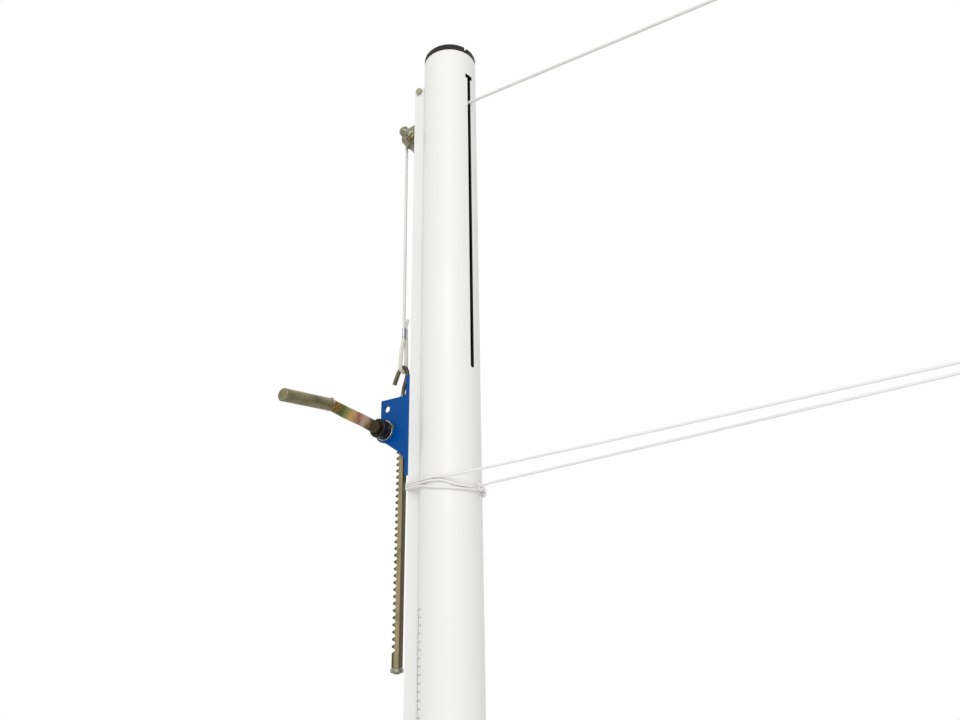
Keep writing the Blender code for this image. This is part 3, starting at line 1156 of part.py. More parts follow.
def main():
    clear_scene()
    post = add_empty("post_frame", (0, 0, 0))
    tensioner = add_empty("tensioner_slide", (SEAT_X, 0, HOUSING_BOTTOM), post)
    carriage = add_empty("carriage_slide", (SEAT_X, 0, BRACKET_BOTTOM), post)
    crank = add_empty("crank_axis", PINION_AXIS, tensioner)
    rack = add_empty("rack_slide", (RACK_AXIS_X, 0, RACK_TOP), tensioner)
    pulley = add_empty("pulley_axis", PULLEY_AXIS, carriage)
    cord = add_empty("cord_tie", (0, 0, POST_TOP - CORD_DROP), post)

    make_post(post)
    make_rail(post)
    make_end_bolt(post)

    make_bracket(carriage)
    make_pulley(carriage, pulley)
    make_axle(carriage)
    make_slide_clamp("carriage", "", CARRIAGE_SCREW_Z, BRACKET_WEB, carriage)

    make_housing(tensioner)
    for place, z in zip(("_upper", "_lower"), housing_screw_heights()):
        make_slide_clamp("tensioner", place, z, HOUSING_WEB, tensioner)
    make_rack_guide(tensioner)
    make_bushes(tensioner)
    make_brake_ring(tensioner)

    make_pinion(crank)
    make_collar(crank)
    make_crank(crank)

    make_rack(rack)
    make_hook(rack)
    make_cables(carriage, rack)
    make_lower_cord(cord)


main()
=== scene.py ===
"""Visible finish of one steel volleyball post with its rack tensioner, crank and cords.

The packed model is loaded as a fixed frame.  Each operator below adds the visible form of
one piece, or of a group of like pieces, over the solid that it stands for.
Metres, +Z up.  The origin is the centre of the foot's flat underside.  +X points to the
net, the rail is at -X and the crank stands out towards -Y.
"""
import json
import math

import bmesh
import bpy
from mathutils import Matrix, Vector


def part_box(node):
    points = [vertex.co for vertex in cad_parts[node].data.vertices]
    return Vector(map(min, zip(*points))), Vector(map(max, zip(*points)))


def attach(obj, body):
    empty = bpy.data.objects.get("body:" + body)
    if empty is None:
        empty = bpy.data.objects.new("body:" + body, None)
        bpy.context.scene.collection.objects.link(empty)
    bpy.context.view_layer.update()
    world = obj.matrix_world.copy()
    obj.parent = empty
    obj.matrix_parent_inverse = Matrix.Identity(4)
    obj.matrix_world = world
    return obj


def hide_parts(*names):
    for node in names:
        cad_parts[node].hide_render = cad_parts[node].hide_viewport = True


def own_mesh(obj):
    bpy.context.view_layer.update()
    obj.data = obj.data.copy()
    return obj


bl_info = {
    "name": "Volleyball post finish",
    "version": (1, 0, 0),
    "blender": (4, 5, 0),
    "location": "View3D > Sidebar > Post",
    "description": "Adds the visible pieces of a volleyball post over its packed solids",
    "category": "Object",
}

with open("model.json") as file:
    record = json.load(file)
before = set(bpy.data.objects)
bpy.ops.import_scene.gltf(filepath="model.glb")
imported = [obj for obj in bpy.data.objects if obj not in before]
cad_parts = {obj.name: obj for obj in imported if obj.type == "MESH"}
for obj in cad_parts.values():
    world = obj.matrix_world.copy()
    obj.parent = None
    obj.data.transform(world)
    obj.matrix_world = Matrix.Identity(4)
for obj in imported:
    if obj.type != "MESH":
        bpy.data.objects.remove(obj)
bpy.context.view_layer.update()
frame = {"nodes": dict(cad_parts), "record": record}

# ---------------------------------------------------------------- places taken from the solids
GAP = 0.0003
POST_RADIUS = 0.04445
POST_WALL = 0.003
POST_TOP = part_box("post_tube")[1][2]
POST_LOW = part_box("post_tube")[0][2]
SLOT_TOP = POST_TOP - 0.0434
SLOT_LENGTH = 0.537
SLOT_WIDTH = 0.007
SLOT_TURN = math.radians(-9.5)
SLOT_HEAD_WIDTH = 0.0157
SLOT_HEAD_HEIGHT = 0.008
BACK_SLOT_WIDTH = 0.012

RAIL_FACE_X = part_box("rail")[0][0]
RAIL_WIDTH = 0.030

CABLE_RADIUS = 0.0025
CABLE_X = (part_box("hook_ferrule")[0][0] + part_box("hook_ferrule")[1][0]) / 2
NET_CABLE_Z = (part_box("net_cable")[0][2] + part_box("net_cable")[1][2]) / 2
NET_CABLE_LENGTH = 0.476
NET_EYE_LENGTH = 0.060
SLOT_EXIT = Vector((POST_RADIUS * math.cos(SLOT_TURN), POST_RADIUS * math.sin(SLOT_TURN), NET_CABLE_Z))
NET_FRAME = Matrix.Translation(SLOT_EXIT) @ Matrix.Rotation(math.radians(1.75), 4, "Z")
PULLEY_PITCH_RADIUS = 0.014
PULLEY_RADIUS = 0.018
PULLEY_WIDTH = 0.012
PULLEY_AXIS = (Vector(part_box("pulley_wheel")[0]) + Vector(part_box("pulley_wheel")[1])) / 2
AXLE_RADIUS = 0.005

PINION_AXIS = Vector((-0.10775, 0.0, 2.238))
SHAFT_RADIUS = 0.006
HUB_RADIUS = 0.0145
CRANK_ANGLE = math.radians(31.0)
CRANK_RADIUS = 0.087
CRANK_BAR_WIDTH = 0.018
CRANK_BAR_THICKNESS = 0.006
CRANK_OFFSET = 0.015
CRANK_BEND_START = 0.030
CRANK_BEND_RUN = 0.028
GRIP_RADIUS = 0.010
GRIP_FALL = 0.115
GRIP_LEAN = 0.030

RACK_AXIS_X = -0.08875
RACK_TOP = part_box("rack_bar")[1][2]
HOOK_RADIUS = 0.003
HOOK_SOCKET_DEPTH = 0.018
HOOK_CROWN = RACK_TOP + 0.0518
SLEEVE_RADIUS = 0.0031
EYE_HALF_WIDTH = 0.0066
EYE_SEAT = 0.0008
FERRULE_HALF_WIDTH = 0.0062
FERRULE_HALF_DEPTH = 0.0038
CORD_RADIUS = 0.0017

BODY_OF = {node: body for body, nodes in frame["record"]["behaviour"]["bodies"].items()
           for node in nodes}

# Sockets of a Mix node that mixes colours.
MIX_A, MIX_B, MIX_RESULT = 6, 7, 2


def linear(code):
    """Linear RGBA of an sRGB hex colour."""
    parts = [int(code[place:place + 2], 16) / 255 for place in (0, 2, 4)]
    curve = [part / 12.92 if part <= 0.04045 else ((part + 0.055) / 1.055) ** 2.4 for part in parts]
    return (*curve, 1.0)


def per_mm(size):
    """Texture scale of a pattern whose grain measures this many millimetres."""
    return 1000.0 / size


# ---------------------------------------------------------------- settings
class CordSettings(bpy.types.PropertyGroup):
    """Sizes of the cable's and the cord's surface."""

    strands: bpy.props.IntProperty(
        name="Cable strands", description="Strands that show through the cable's sheath",
        default=6, min=3, max=8)
    strand_depth: bpy.props.FloatProperty(
        name="Strand depth", description="Depth of the sheath's hollows between strands",
        default=0.00022, min=0.0, max=0.0006, precision=5, unit="LENGTH")
    lay: bpy.props.FloatProperty(
        name="Cable lay", description="Length of one turn of a strand",
        default=0.032, min=0.01, max=0.08, unit="LENGTH")
    plait: bpy.props.FloatProperty(
        name="Cord plait", description="Length of one diamond of the braided cord",
        default=0.0048, min=0.002, max=0.01, unit="LENGTH")


class PrintSettings(bpy.types.PropertyGroup):
    """The height scale printed on the post beside the rail."""

    top: bpy.props.FloatProperty(
        name="Top", description="Height of the scale's first line over the foot",
        default=1.974, unit="LENGTH")
    pitch: bpy.props.FloatProperty(
        name="Pitch", description="Distance from line to line", default=0.010, unit="LENGTH")
    lines: bpy.props.IntProperty(name="Lines", description="Number of lines", default=72, min=2)
    angle: bpy.props.FloatProperty(
        name="Place", description="Place of the scale's edge round the post",
        default=math.radians(-129.4), subtype="ANGLE")
    numeral: bpy.props.FloatProperty(
        name="Numeral height", description="Height of the numerals", default=0.0040, unit="LENGTH")


class FinishSettings(bpy.types.PropertyGroup):
    """Colours of the main finishes."""

    post_paint: bpy.props.FloatVectorProperty(
        name="Post paint", description="Powder coat of the post and rail", size=4,
        default=linear("F2F2EF"), min=0.0, max=1.0, subtype="COLOR")
    housing_paint: bpy.props.FloatVectorProperty(
        name="Housing paint", description="Powder coat of the tensioner's housing", size=4,
        default=linear("00509A"), min=0.0, max=1.0, subtype="COLOR")
    zinc_gold: bpy.props.FloatVectorProperty(
        name="Yellow zinc", description="Gold tone of the passivated zinc", size=4,
        default=linear("9A8C70"), min=0.0, max=1.0, subtype="COLOR")
    zinc_olive: bpy.props.FloatVectorProperty(
        name="Olive zinc", description="Olive tone of the passivated zinc", size=4,
        default=linear("7A7456"), min=0.0, max=1.0, subtype="COLOR")
    cord_white: bpy.props.FloatVectorProperty(
        name="Cord", description="Colour of the braided cord", size=4,
        default=linear("F7F6F5"), min=0.0, max=1.0, subtype="COLOR")


# ---------------------------------------------------------------- modelling helpers
def turned(profile, centre, axis, sides=96):
    """Spin a closed profile of (radius, height) points round an axis through the centre."""
    bm = bmesh.new()
    rim = [bm.verts.new((radius, 0.0, height)) for radius, height in profile]
    edges = [bm.edges.new(pair) for pair in zip(rim, rim[1:] + rim[:1])]
    bmesh.ops.spin(bm, geom=rim + edges, cent=(0, 0, 0), axis=(0, 0, 1), angle=math.tau,
                   steps=sides, use_merge=True, use_duplicate=False)
    bmesh.ops.remove_doubles(bm, verts=bm.verts, dist=1e-6)
    loose = [edge for edge in bm.edges if not edge.link_faces]
    bmesh.ops.delete(bm, geom=loose, context="EDGES")
    bmesh.ops.recalc_face_normals(bm, faces=bm.faces)
    turn = {"X": Matrix.Rotation(math.radians(90), 4, "Y"),
            "Y": Matrix.Rotation(math.radians(-90), 4, "X"),
            "Z": Matrix.Identity(4)}[axis]
    bmesh.ops.transform(bm, matrix=Matrix.Translation(Vector(centre)) @ turn, verts=bm.verts)
    return bm


def arc(centre, radius, start, end, steps):
    """Points of an arc, angles in radians, as (a, b) pairs."""
    turns = [start + (end - start) * step / steps for step in range(steps + 1)]
    return [(centre[0] + radius * math.cos(turn), centre[1] + radius * math.sin(turn))
            for turn in turns]


def thread(radius, pitch, start, end):
    """Profile points of a screw thread's flanks between two heights."""
    depth = pitch * 0.54
    count = max(1, round(abs(end - start) / pitch))
    step = (end - start) / count
    points = []
    for index in range(count):
        low = start + step * index
        points += [(radius - depth, low), (radius, low + step * 0.42), (radius, low + step * 0.58)]
    return points + [(radius - depth, end)]


def smooth_route(points, spacing):
    """Catmull-Rom points through a route, spaced by no more than the given step."""
    points = [Vector(point) for point in points]
    ends = [2 * points[0] - points[1]] + points + [2 * points[-1] - points[-2]]
    route = []
    for index in range(1, len(ends) - 2):
        before, start, end, after = ends[index - 1:index + 3]
        steps = max(1, math.ceil((end - start).length / spacing))
        for step in range(steps):
            t = step / steps
            route.append(0.5 * (2 * start + (end - before) * t
                                + (2 * before - 5 * start + 4 * end - after) * t * t
                                + (3 * start - before - 3 * end + after) * t ** 3))
    return route + [points[-1]]


def straight_route(points, spacing):
    """Evenly spaced points along straight runs."""
    points = [Vector(point) for point in points]
    route = []
    for start, end in zip(points, points[1:]):
        steps = max(1, math.ceil((end - start).length / spacing))
        route += [start.lerp(end, step / steps) for step in range(steps)]
    return route + [points[-1]]


def swept(route, form, sides, side, ends=True):
    """Tube of rings carried along a route without twist; form(angle, along) is its radius."""
    bm = bmesh.new()
    turn_of = bm.verts.layers.float.new("turn")
    along_of = bm.verts.layers.float.new("along")
    across = Vector(side)
    before = None
    along = 0.0
    rings = []
    for index, point in enumerate(route):
        ahead = route[min(index + 1, len(route) - 1)] - route[max(index - 1, 0)]
        ahead.normalize()
        if before is not None:
            along += (point - route[index - 1]).length
            across.rotate(before.rotation_difference(ahead))
        across = (across - ahead * across.dot(ahead)).normalized()
        before = ahead
        place = Matrix((across, ahead.cross(across), ahead)).transposed().to_4x4()
        place.translation = point
        ring = bmesh.ops.create_circle(bm, cap_ends=False, radius=1.0, segments=sides)["verts"]
        for vert in ring:
            angle = math.atan2(vert.co.y, vert.co.x) % math.tau
            vert[turn_of] = angle / math.tau
            vert[along_of] = along
            vert.co *= form(angle, along)
        bmesh.ops.transform(bm, matrix=place, verts=ring)
        rings.append([edge for edge in {edge for vert in ring for edge in vert.link_edges}])
    for near, far in zip(rings, rings[1:]):
        bmesh.ops.bridge_loops(bm, edges=near + far)
    if ends:
        for ring in (rings[0], rings[-1]):
            bmesh.ops.edgeloop_fill(bm, edges=ring)
    bmesh.ops.recalc_face_normals(bm, faces=bm.faces)
    layer = bm.loops.layers.uv.new("UVMap")
    for face in bm.faces:
        turns = [loop.vert[turn_of] for loop in face.loops]
        crosses = max(turns) - min(turns) > 0.5
        for loop, turn in zip(face.loops, turns):
            wrapped = turn + 1.0 if crosses and turn < 0.5 else turn
            loop[layer].uv = (wrapped, loop.vert[along_of])
    return bm


def prism(outline, low, high):
    """Extrude an outline of (x, z) points along Y."""
    bm = bmesh.new()
    face = bm.faces.new([bm.verts.new((a, low, b)) for a, b in outline])
    grown = bmesh.ops.extrude_face_region(bm, geom=[face])
    moved = [item for item in grown["geom"] if isinstance(item, bmesh.types.BMVert)]
    bmesh.ops.translate(bm, verts=moved, vec=(0, high - low, 0))
    bmesh.ops.recalc_face_normals(bm, faces=bm.faces)
    return bm


def make_piece(name, bm):
    """Object at the origin from a bmesh whose places are already in the frame."""
    mesh = bpy.data.meshes.new(name)
    bm.to_mesh(mesh)
    bm.free()
    made = bpy.data.objects.new(name, mesh)
    bpy.context.scene.collection.objects.link(made)
    return made


def combine(piece, bm, operation="DIFFERENCE"):
    """Apply a Boolean with the bmesh on a piece."""
    tool = make_piece("cutter", bm)
    change = piece.modifiers.new(operation.title(), "BOOLEAN")
    change.operation = operation
    change.solver = "EXACT"
    change.object = tool
    depsgraph = bpy.context.evaluated_depsgraph_get()
    made = bpy.data.meshes.new_from_object(piece.evaluated_get(depsgraph), depsgraph=depsgraph)
    piece.modifiers.clear()
    piece.data = made
    bpy.data.objects.remove(tool, do_unlink=True)


def finish(piece, material, nodes=(), bevel=0.0, segments=2, angle=35.0, body=None):
    """Material, edges and shading of a piece, and the solids and body that it belongs to."""
    piece.data.materials.clear()
    piece.data.materials.append(material)
    piece.data.shade_smooth()
    piece.data.set_sharp_from_angle(angle=math.radians(angle))
    if bevel:
        edge = piece.modifiers.new("Edges", "BEVEL")
        edge.width = bevel
        edge.segments = segments
        edge.limit_method = "ANGLE"
        edge.angle_limit = math.radians(angle)
        edge.harden_normals = True
    nodes = [nodes] if isinstance(nodes, str) else list(nodes)
    if nodes:
        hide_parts(*nodes)
    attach(piece, body or BODY_OF[nodes[0]])
    return piece


def dressed(name, node, material, bevel, segments=2, angle=35.0):
    """Copy of a solid with merged points, joined flats and rounded edges."""
    bm = bmesh.new()
    bm.from_mesh(frame["nodes"][node].data)
    bmesh.ops.remove_doubles(bm, verts=bm.verts, dist=2e-6)
    bmesh.ops.dissolve_limit(bm, angle_limit=math.radians(0.6), use_dissolve_boundaries=False,
                             verts=bm.verts, edges=bm.edges, delimit=set())
    return finish(make_piece(name, bm), material, node, bevel, segments, angle)


def hexagon(name, centre, axis, start, end, flats, chamfer=(True, True)):
    """Hexagon between two places on an axis, its corners turned off at the chosen ends."""
    corner = flats / math.sqrt(3)
    low, high = min(start, end), max(start, end)
    bm = bmesh.new()
    place = Matrix.Translation((0, 0, (low + high) / 2)) @ Matrix.Rotation(math.radians(30), 4, "Z")
    bmesh.ops.create_cone(bm, cap_ends=True, segments=6, radius1=corner, radius2=corner,
                          depth=high - low, matrix=place)
    turn = {"X": Matrix.Rotation(math.radians(90), 4, "Y"),
            "Y": Matrix.Rotation(math.radians(-90), 4, "X"),
            "Z": Matrix.Identity(4)}[axis]
    bmesh.ops.transform(bm, matrix=Matrix.Translation(Vector(centre)) @ turn, verts=bm.verts)
    piece = make_piece(name, bm)
    face = flats * 0.475
    fall = (corner * 1.02 - face) * math.tan(math.radians(30))
    wide = corner * 1.02
    low_end = [(face, low), (wide, low + fall)] if chamfer[0] else [(wide, low)]
    high_end = [(wide, high - fall), (face, high)] if chamfer[1] else [(wide, high)]
    combine(piece, turned([(0, low)] + low_end + high_end + [(0, high)], centre, axis), "INTERSECT")
    return piece


# ---------------------------------------------------------------- materials
def add_node(tree, kind, inputs=None, **settings):
    """Add a node with its settings; an input is a value or the socket that feeds it."""
    node = tree.nodes.new(kind)
    for name, value in settings.items():
        setattr(node, name, value)
    for name, value in (inputs or {}).items():
        if isinstance(value, bpy.types.NodeSocket):
            tree.links.new(value, node.inputs[name])
        else:
            node.inputs[name].default_value = value
    return node


def new_finish(name, **sockets):
    """Empty material with its shader; uniform numbers go on the shader's own sockets."""
    made = bpy.data.materials.new(name)
    made.use_nodes = True
    shader = made.node_tree.nodes["Principled BSDF"]
    for socket, value in sockets.items():
        shader.inputs[socket.replace("_", " ")].default_value = value
    return made, made.node_tree, shader


def set_ramp(node, stops):
    """Colours of a ramp from (place, colour) stops."""
    ramp = node.color_ramp
    while len(ramp.elements) < len(stops):
        ramp.elements.new(0.5)
    for element, (place, colour) in zip(ramp.elements, stops):
        element.position = place
        element.color = colour


def powder_coat(name, colour, shade, peel_depth, specular=0.5):
    """Gloss polyester powder coat: one even skin, faint orange peel, softly blurred lights."""
    made, tree, shader = new_finish(name, IOR=1.5, Specular_IOR_Level=specular)
    place = add_node(tree, "ShaderNodeTexCoord").outputs["Object"]
    cloud = add_node(tree, "ShaderNodeTexNoise",
                     {"Vector": place, "Scale": per_mm(140), "Detail": 3.0, "Roughness": 0.55})
    tone = add_node(tree, "ShaderNodeMix", {0: cloud.outputs[0], MIX_A: colour, MIX_B: shade},
                    data_type="RGBA")
    # The real orange peel is about 1.5 mm from crest to crest; 3 mm shows in the render.
    peel = add_node(tree, "ShaderNodeTexNoise",
                    {"Vector": place, "Scale": per_mm(3.0), "Detail": 1.5, "Roughness": 0.4})
    bump = add_node(tree, "ShaderNodeBump",
                    {"Strength": 0.35, "Distance": peel_depth, "Height": peel.outputs[0]})
    rough = add_node(tree, "ShaderNodeMapRange",
                     {"Value": cloud.outputs[0], "To Min": 0.24, "To Max": 0.38})
    tree.links.new(tone.outputs[MIX_RESULT], shader.inputs["Base Color"])
    tree.links.new(rough.outputs[0], shader.inputs["Roughness"])
    tree.links.new(bump.outputs[0], shader.inputs["Normal"])
    return made


def yellow_zinc(name, gold, olive, metallic=0.55, grain=30.0, painted_shade_bands=()):
    """Yellow-passivated zinc on steel: a gold film that drifts to olive and faint rose.

    Each pair gives two places along X, where a painted shade starts and where it is full; on the rack it
    darkens the back face, which faces the rail, and the teeth's flanks.
    """
    made, tree, shader = new_finish(name, Metallic=metallic)
    place = add_node(tree, "ShaderNodeTexCoord").outputs["Object"]
    drift = add_node(tree, "ShaderNodeTexNoise",
                     {"Vector": place, "Scale": per_mm(grain), "Detail": 3.0, "Roughness": 0.5,
                      "Distortion": 0.5})
    rose = tuple(0.80 * part + 0.20 * warm for part, warm in zip(gold, linear("A0705A")))
    film = add_node(tree, "ShaderNodeValToRGB", {"Fac": drift.outputs[0]})
    set_ramp(film, [(0.30, olive), (0.50, gold), (0.66, rose), (0.80, olive)])
    fine = add_node(tree, "ShaderNodeTexNoise",
                    {"Vector": place, "Scale": per_mm(1.2), "Detail": 3.0, "Roughness": 0.7})
    stain = add_node(tree, "ShaderNodeMapRange",
                     {"Value": fine.outputs[0], "From Min": 0.3, "From Max": 0.7, "To Min": 0.86,
                      "To Max": 1.06})
    tone = add_node(tree, "ShaderNodeVectorMath", {0: film.outputs[0], "Scale": stain.outputs[0]},
                    operation="SCALE")
    across = add_node(tree, "ShaderNodeSeparateXYZ", {0: place})
    skin = tone.outputs[0]
    # Painted shade: each band blends the film towards dark olive 39351C along X.
    for unshaded, dark in painted_shade_bands:
        share = add_node(tree, "ShaderNodeMapRange",
                         {"Value": across.outputs[0], "From Min": unshaded, "From Max": dark,
                          "To Max": 0.85})
        skin = add_node(tree, "ShaderNodeMix",
                        {0: share.outputs[0], MIX_A: skin, MIX_B: linear("39351C")},
                        data_type="RGBA").outputs[MIX_RESULT]
    rough = add_node(tree, "ShaderNodeMapRange",
                     {"Value": fine.outputs[0], "To Min": 0.20, "To Max": 0.38})
    bump = add_node(tree, "ShaderNodeBump",
                    {"Strength": 0.25, "Distance": 0.00012, "Height": fine.outputs[0]})
    tree.links.new(skin, shader.inputs["Base Color"])
    tree.links.new(rough.outputs[0], shader.inputs["Roughness"])
    tree.links.new(bump.outputs[0], shader.inputs["Normal"])
    return made


def rainbow_zinc():
    """Yellow-passivated flat bar whose film turned in bands: brown, rose, red, orange, green; the darkest
    brown at the hub's end is painted shade.
    """
    made, tree, shader = new_finish("yellow_zinc_banded", Metallic=0.5)
    place = add_node(tree, "ShaderNodeTexCoord").outputs["Object"]
    # The bar's own length runs along X once the crank's angle is turned out.
    along = add_node(tree, "ShaderNodeMapping",
                     {"Vector": place, "Location": -PINION_AXIS}, vector_type="POINT")
    level = add_node(tree, "ShaderNodeMapping",
                     {"Vector": along.outputs[0], "Rotation": (0.0, -CRANK_ANGLE, 0.0)},
                     vector_type="POINT")
    warp = add_node(tree, "ShaderNodeTexNoise",
                    {"Vector": level.outputs[0], "Scale": per_mm(16), "Detail": 2.0})
    parts = add_node(tree, "ShaderNodeSeparateXYZ", {0: level.outputs[0]})
    bend = add_node(tree, "ShaderNodeMath", {0: warp.outputs[0], 1: 0.012}, operation="MULTIPLY")
    shifted = add_node(tree, "ShaderNodeMath", {0: parts.outputs[0], 1: bend.outputs[0]},
                       operation="ADD")
    share = add_node(tree, "ShaderNodeMapRange",
                     {"Value": shifted.outputs[0], "From Min": 0.0, "From Max": -0.088})
    film = add_node(tree, "ShaderNodeValToRGB", {"Fac": share.outputs[0]})
    # The first stop, near-black brown at the hub's end, is painted shade that the hub casts; the others
    # are the film's own bands.
    bands = ((0.02, "3A2D1B"), (0.09, "74603F"), (0.15, "A8917A"), (0.23, "B49A8A"),
             (0.29, "A07E70"), (0.325, "84503F"), (0.36, "8E6E4C"), (0.42, "A07E4A"),
             (0.48, "8C7842"), (0.54, "6F703C"), (0.60, "5A6638"), (0.67, "6C6A38"),
             (0.74, "886C3C"), (0.82, "A2784A"), (0.92, "BE9068"))
    set_ramp(film, [(place, linear(code)) for place, code in bands])
    fine = add_node(tree, "ShaderNodeTexNoise",
                    {"Vector": place, "Scale": per_mm(1.5), "Detail": 3.0, "Roughness": 0.65})
    rough = add_node(tree, "ShaderNodeMapRange",
                     {"Value": fine.outputs[0], "To Min": 0.22, "To Max": 0.46})
    bump = add_node(tree, "ShaderNodeBump",
                    {"Strength": 0.2, "Distance": 0.0001, "Height": fine.outputs[0]})
    tree.links.new(film.outputs[0], shader.inputs["Base Color"])
    tree.links.new(rough.outputs[0], shader.inputs["Roughness"])
    tree.links.new(bump.outputs[0], shader.inputs["Normal"])
    return made


def bare_metal(name, colour, dark, low, high, grain=0.8, metallic=1.0):
    """Plain metal: fine grain in its tone and roughness from plating, turning or pressing."""
    made, tree, shader = new_finish(name, Metallic=metallic)
    place = add_node(tree, "ShaderNodeTexCoord").outputs["Object"]
    fine = add_node(tree, "ShaderNodeTexNoise",
                    {"Vector": place, "Scale": per_mm(grain), "Detail": 4.0, "Roughness": 0.65})
    broad = add_node(tree, "ShaderNodeTexNoise",
                     {"Vector": place, "Scale": per_mm(grain * 11), "Detail": 2.0})
    tone = add_node(tree, "ShaderNodeMix", {0: broad.outputs[0], MIX_A: colour, MIX_B: dark},
                    data_type="RGBA")
    rough = add_node(tree, "ShaderNodeMapRange",
                     {"Value": fine.outputs[0], "To Min": low, "To Max": high})
    bump = add_node(tree, "ShaderNodeBump",
                    {"Strength": 0.2, "Distance": 0.00008, "Height": fine.outputs[0]})
    tree.links.new(tone.outputs[MIX_RESULT], shader.inputs["Base Color"])
    tree.links.new(rough.outputs[0], shader.inputs["Roughness"])
    tree.links.new(bump.outputs[0], shader.inputs["Normal"])
    return made


def moulded(name, colour, dark, low, high, grain=0.6, depth=0.0001, specular=0.5):
    """Moulded plastic or rubber: fine mould grain with slightly uneven gloss."""
    made, tree, shader = new_finish(name, IOR=1.5, Specular_IOR_Level=specular)
    place = add_node(tree, "ShaderNodeTexCoord").outputs["Object"]
    fine = add_node(tree, "ShaderNodeTexNoise",
                    {"Vector": place, "Scale": per_mm(grain), "Detail": 3.0, "Roughness": 0.6})
    broad = add_node(tree, "ShaderNodeTexNoise",
                     {"Vector": place, "Scale": per_mm(22), "Detail": 2.0})
    tone = add_node(tree, "ShaderNodeMix", {0: broad.outputs[0], MIX_A: colour, MIX_B: dark},
                    data_type="RGBA")
    rough = add_node(tree, "ShaderNodeMapRange",
                     {"Value": broad.outputs[0], "To Min": low, "To Max": high})
    bump = add_node(tree, "ShaderNodeBump",
                    {"Strength": 0.3, "Distance": depth, "Height": fine.outputs[0]})
    tree.links.new(tone.outputs[MIX_RESULT], shader.inputs["Base Color"])
    tree.links.new(rough.outputs[0], shader.inputs["Roughness"])
    tree.links.new(bump.outputs[0], shader.inputs["Normal"])
    return made


def cable_sheath(name, colour, scuffed):
    """Extruded PVC over wire rope: smooth, half gloss, a little scuffed."""
    made, tree, shader = new_finish(name, IOR=1.53)
    place = add_node(tree, "ShaderNodeTexCoord").outputs["Object"]
    scuff = add_node(tree, "ShaderNodeTexNoise",
                     {"Vector": place, "Scale": per_mm(9), "Detail": 4.0, "Roughness": 0.6})
    tone = add_node(tree, "ShaderNodeMix",
                    {0: scuff.outputs[0], MIX_A: colour, MIX_B: scuffed}, data_type="RGBA")
    rough = add_node(tree, "ShaderNodeMapRange",
                     {"Value": scuff.outputs[0], "To Min": 0.35, "To Max": 0.55})
    tree.links.new(tone.outputs[MIX_RESULT], shader.inputs["Base Color"])
    tree.links.new(rough.outputs[0], shader.inputs["Roughness"])
    return made


def braided_cord(colour, plait):
    """White polyester cord, eight-strand plait: matt, with small diamonds that cross in rows, and a
    painted shade in the hollows between them.
    """
    made, tree, shader = new_finish("white_polyester_braid", Roughness=0.82, Sheen_Weight=0.25,
                                    Sheen_Roughness=0.5)
    lay = add_node(tree, "ShaderNodeUVMap", uv_map="UVMap").outputs[0]
    rows = []
    for hand in (1.0, -1.0):
        phase = add_node(tree, "ShaderNodeVectorMath",
                         {0: lay, 1: (2.0 * math.tau * hand, math.tau / plait, 0.0)},
                         operation="DOT_PRODUCT")
        rows.append(add_node(tree, "ShaderNodeMath", {0: phase.outputs["Value"]}, operation="SINE"))
    weave = add_node(tree, "ShaderNodeMath", {0: rows[0].outputs[0], 1: rows[1].outputs[0]},
                     operation="MULTIPLY")
    height = add_node(tree, "ShaderNodeMapRange",
                      {"Value": weave.outputs[0], "From Min": -1.0, "From Max": 1.0})
    # Painted shade: the plait's low places take the greyer E9E7E6, its crowns the cord's own white.
    tone = add_node(tree, "ShaderNodeMix",
                    {0: height.outputs[0], MIX_A: linear("E9E7E6"), MIX_B: colour},
                    data_type="RGBA")
    bump = add_node(tree, "ShaderNodeBump",
                    {"Strength": 0.6, "Distance": 0.0004, "Height": height.outputs[0]})
    tree.links.new(tone.outputs[MIX_RESULT], shader.inputs["Base Color"])
    tree.links.new(bump.outputs[0], shader.inputs["Normal"])
    return made


def print_ink(name, colour, worn_colour):
    """Screen-printed ink on powder coat: plum grey, dry and a little broken."""
    made, tree, shader = new_finish(name, Roughness=0.7)
    place = add_node(tree, "ShaderNodeTexCoord").outputs["Object"]
    worn = add_node(tree, "ShaderNodeTexNoise",
                    {"Vector": place, "Scale": per_mm(0.9), "Detail": 2.0, "Roughness": 0.6})
    tone = add_node(tree, "ShaderNodeMix",
                    {0: worn.outputs[0], MIX_A: colour, MIX_B: worn_colour},
                    data_type="RGBA")
    tree.links.new(tone.outputs[MIX_RESULT], shader.inputs["Base Color"])
    return made


def pale_floor():
    """Smooth matt studio floor, near white."""
    made, tree, shader = new_finish("matt_studio_floor", Roughness=0.9)
    place = add_node(tree, "ShaderNodeTexCoord").outputs["Object"]
    cloud = add_node(tree, "ShaderNodeTexNoise", {"Vector": place, "Scale": 0.7, "Detail": 1.0})
    tone = add_node(tree, "ShaderNodeMix",
                    {0: cloud.outputs[0], MIX_A: linear("F4F4F4"), MIX_B: linear("EFEFEF")},
                    data_type="RGBA")
    tree.links.new(tone.outputs[MIX_RESULT], shader.inputs["Base Color"])
    return made


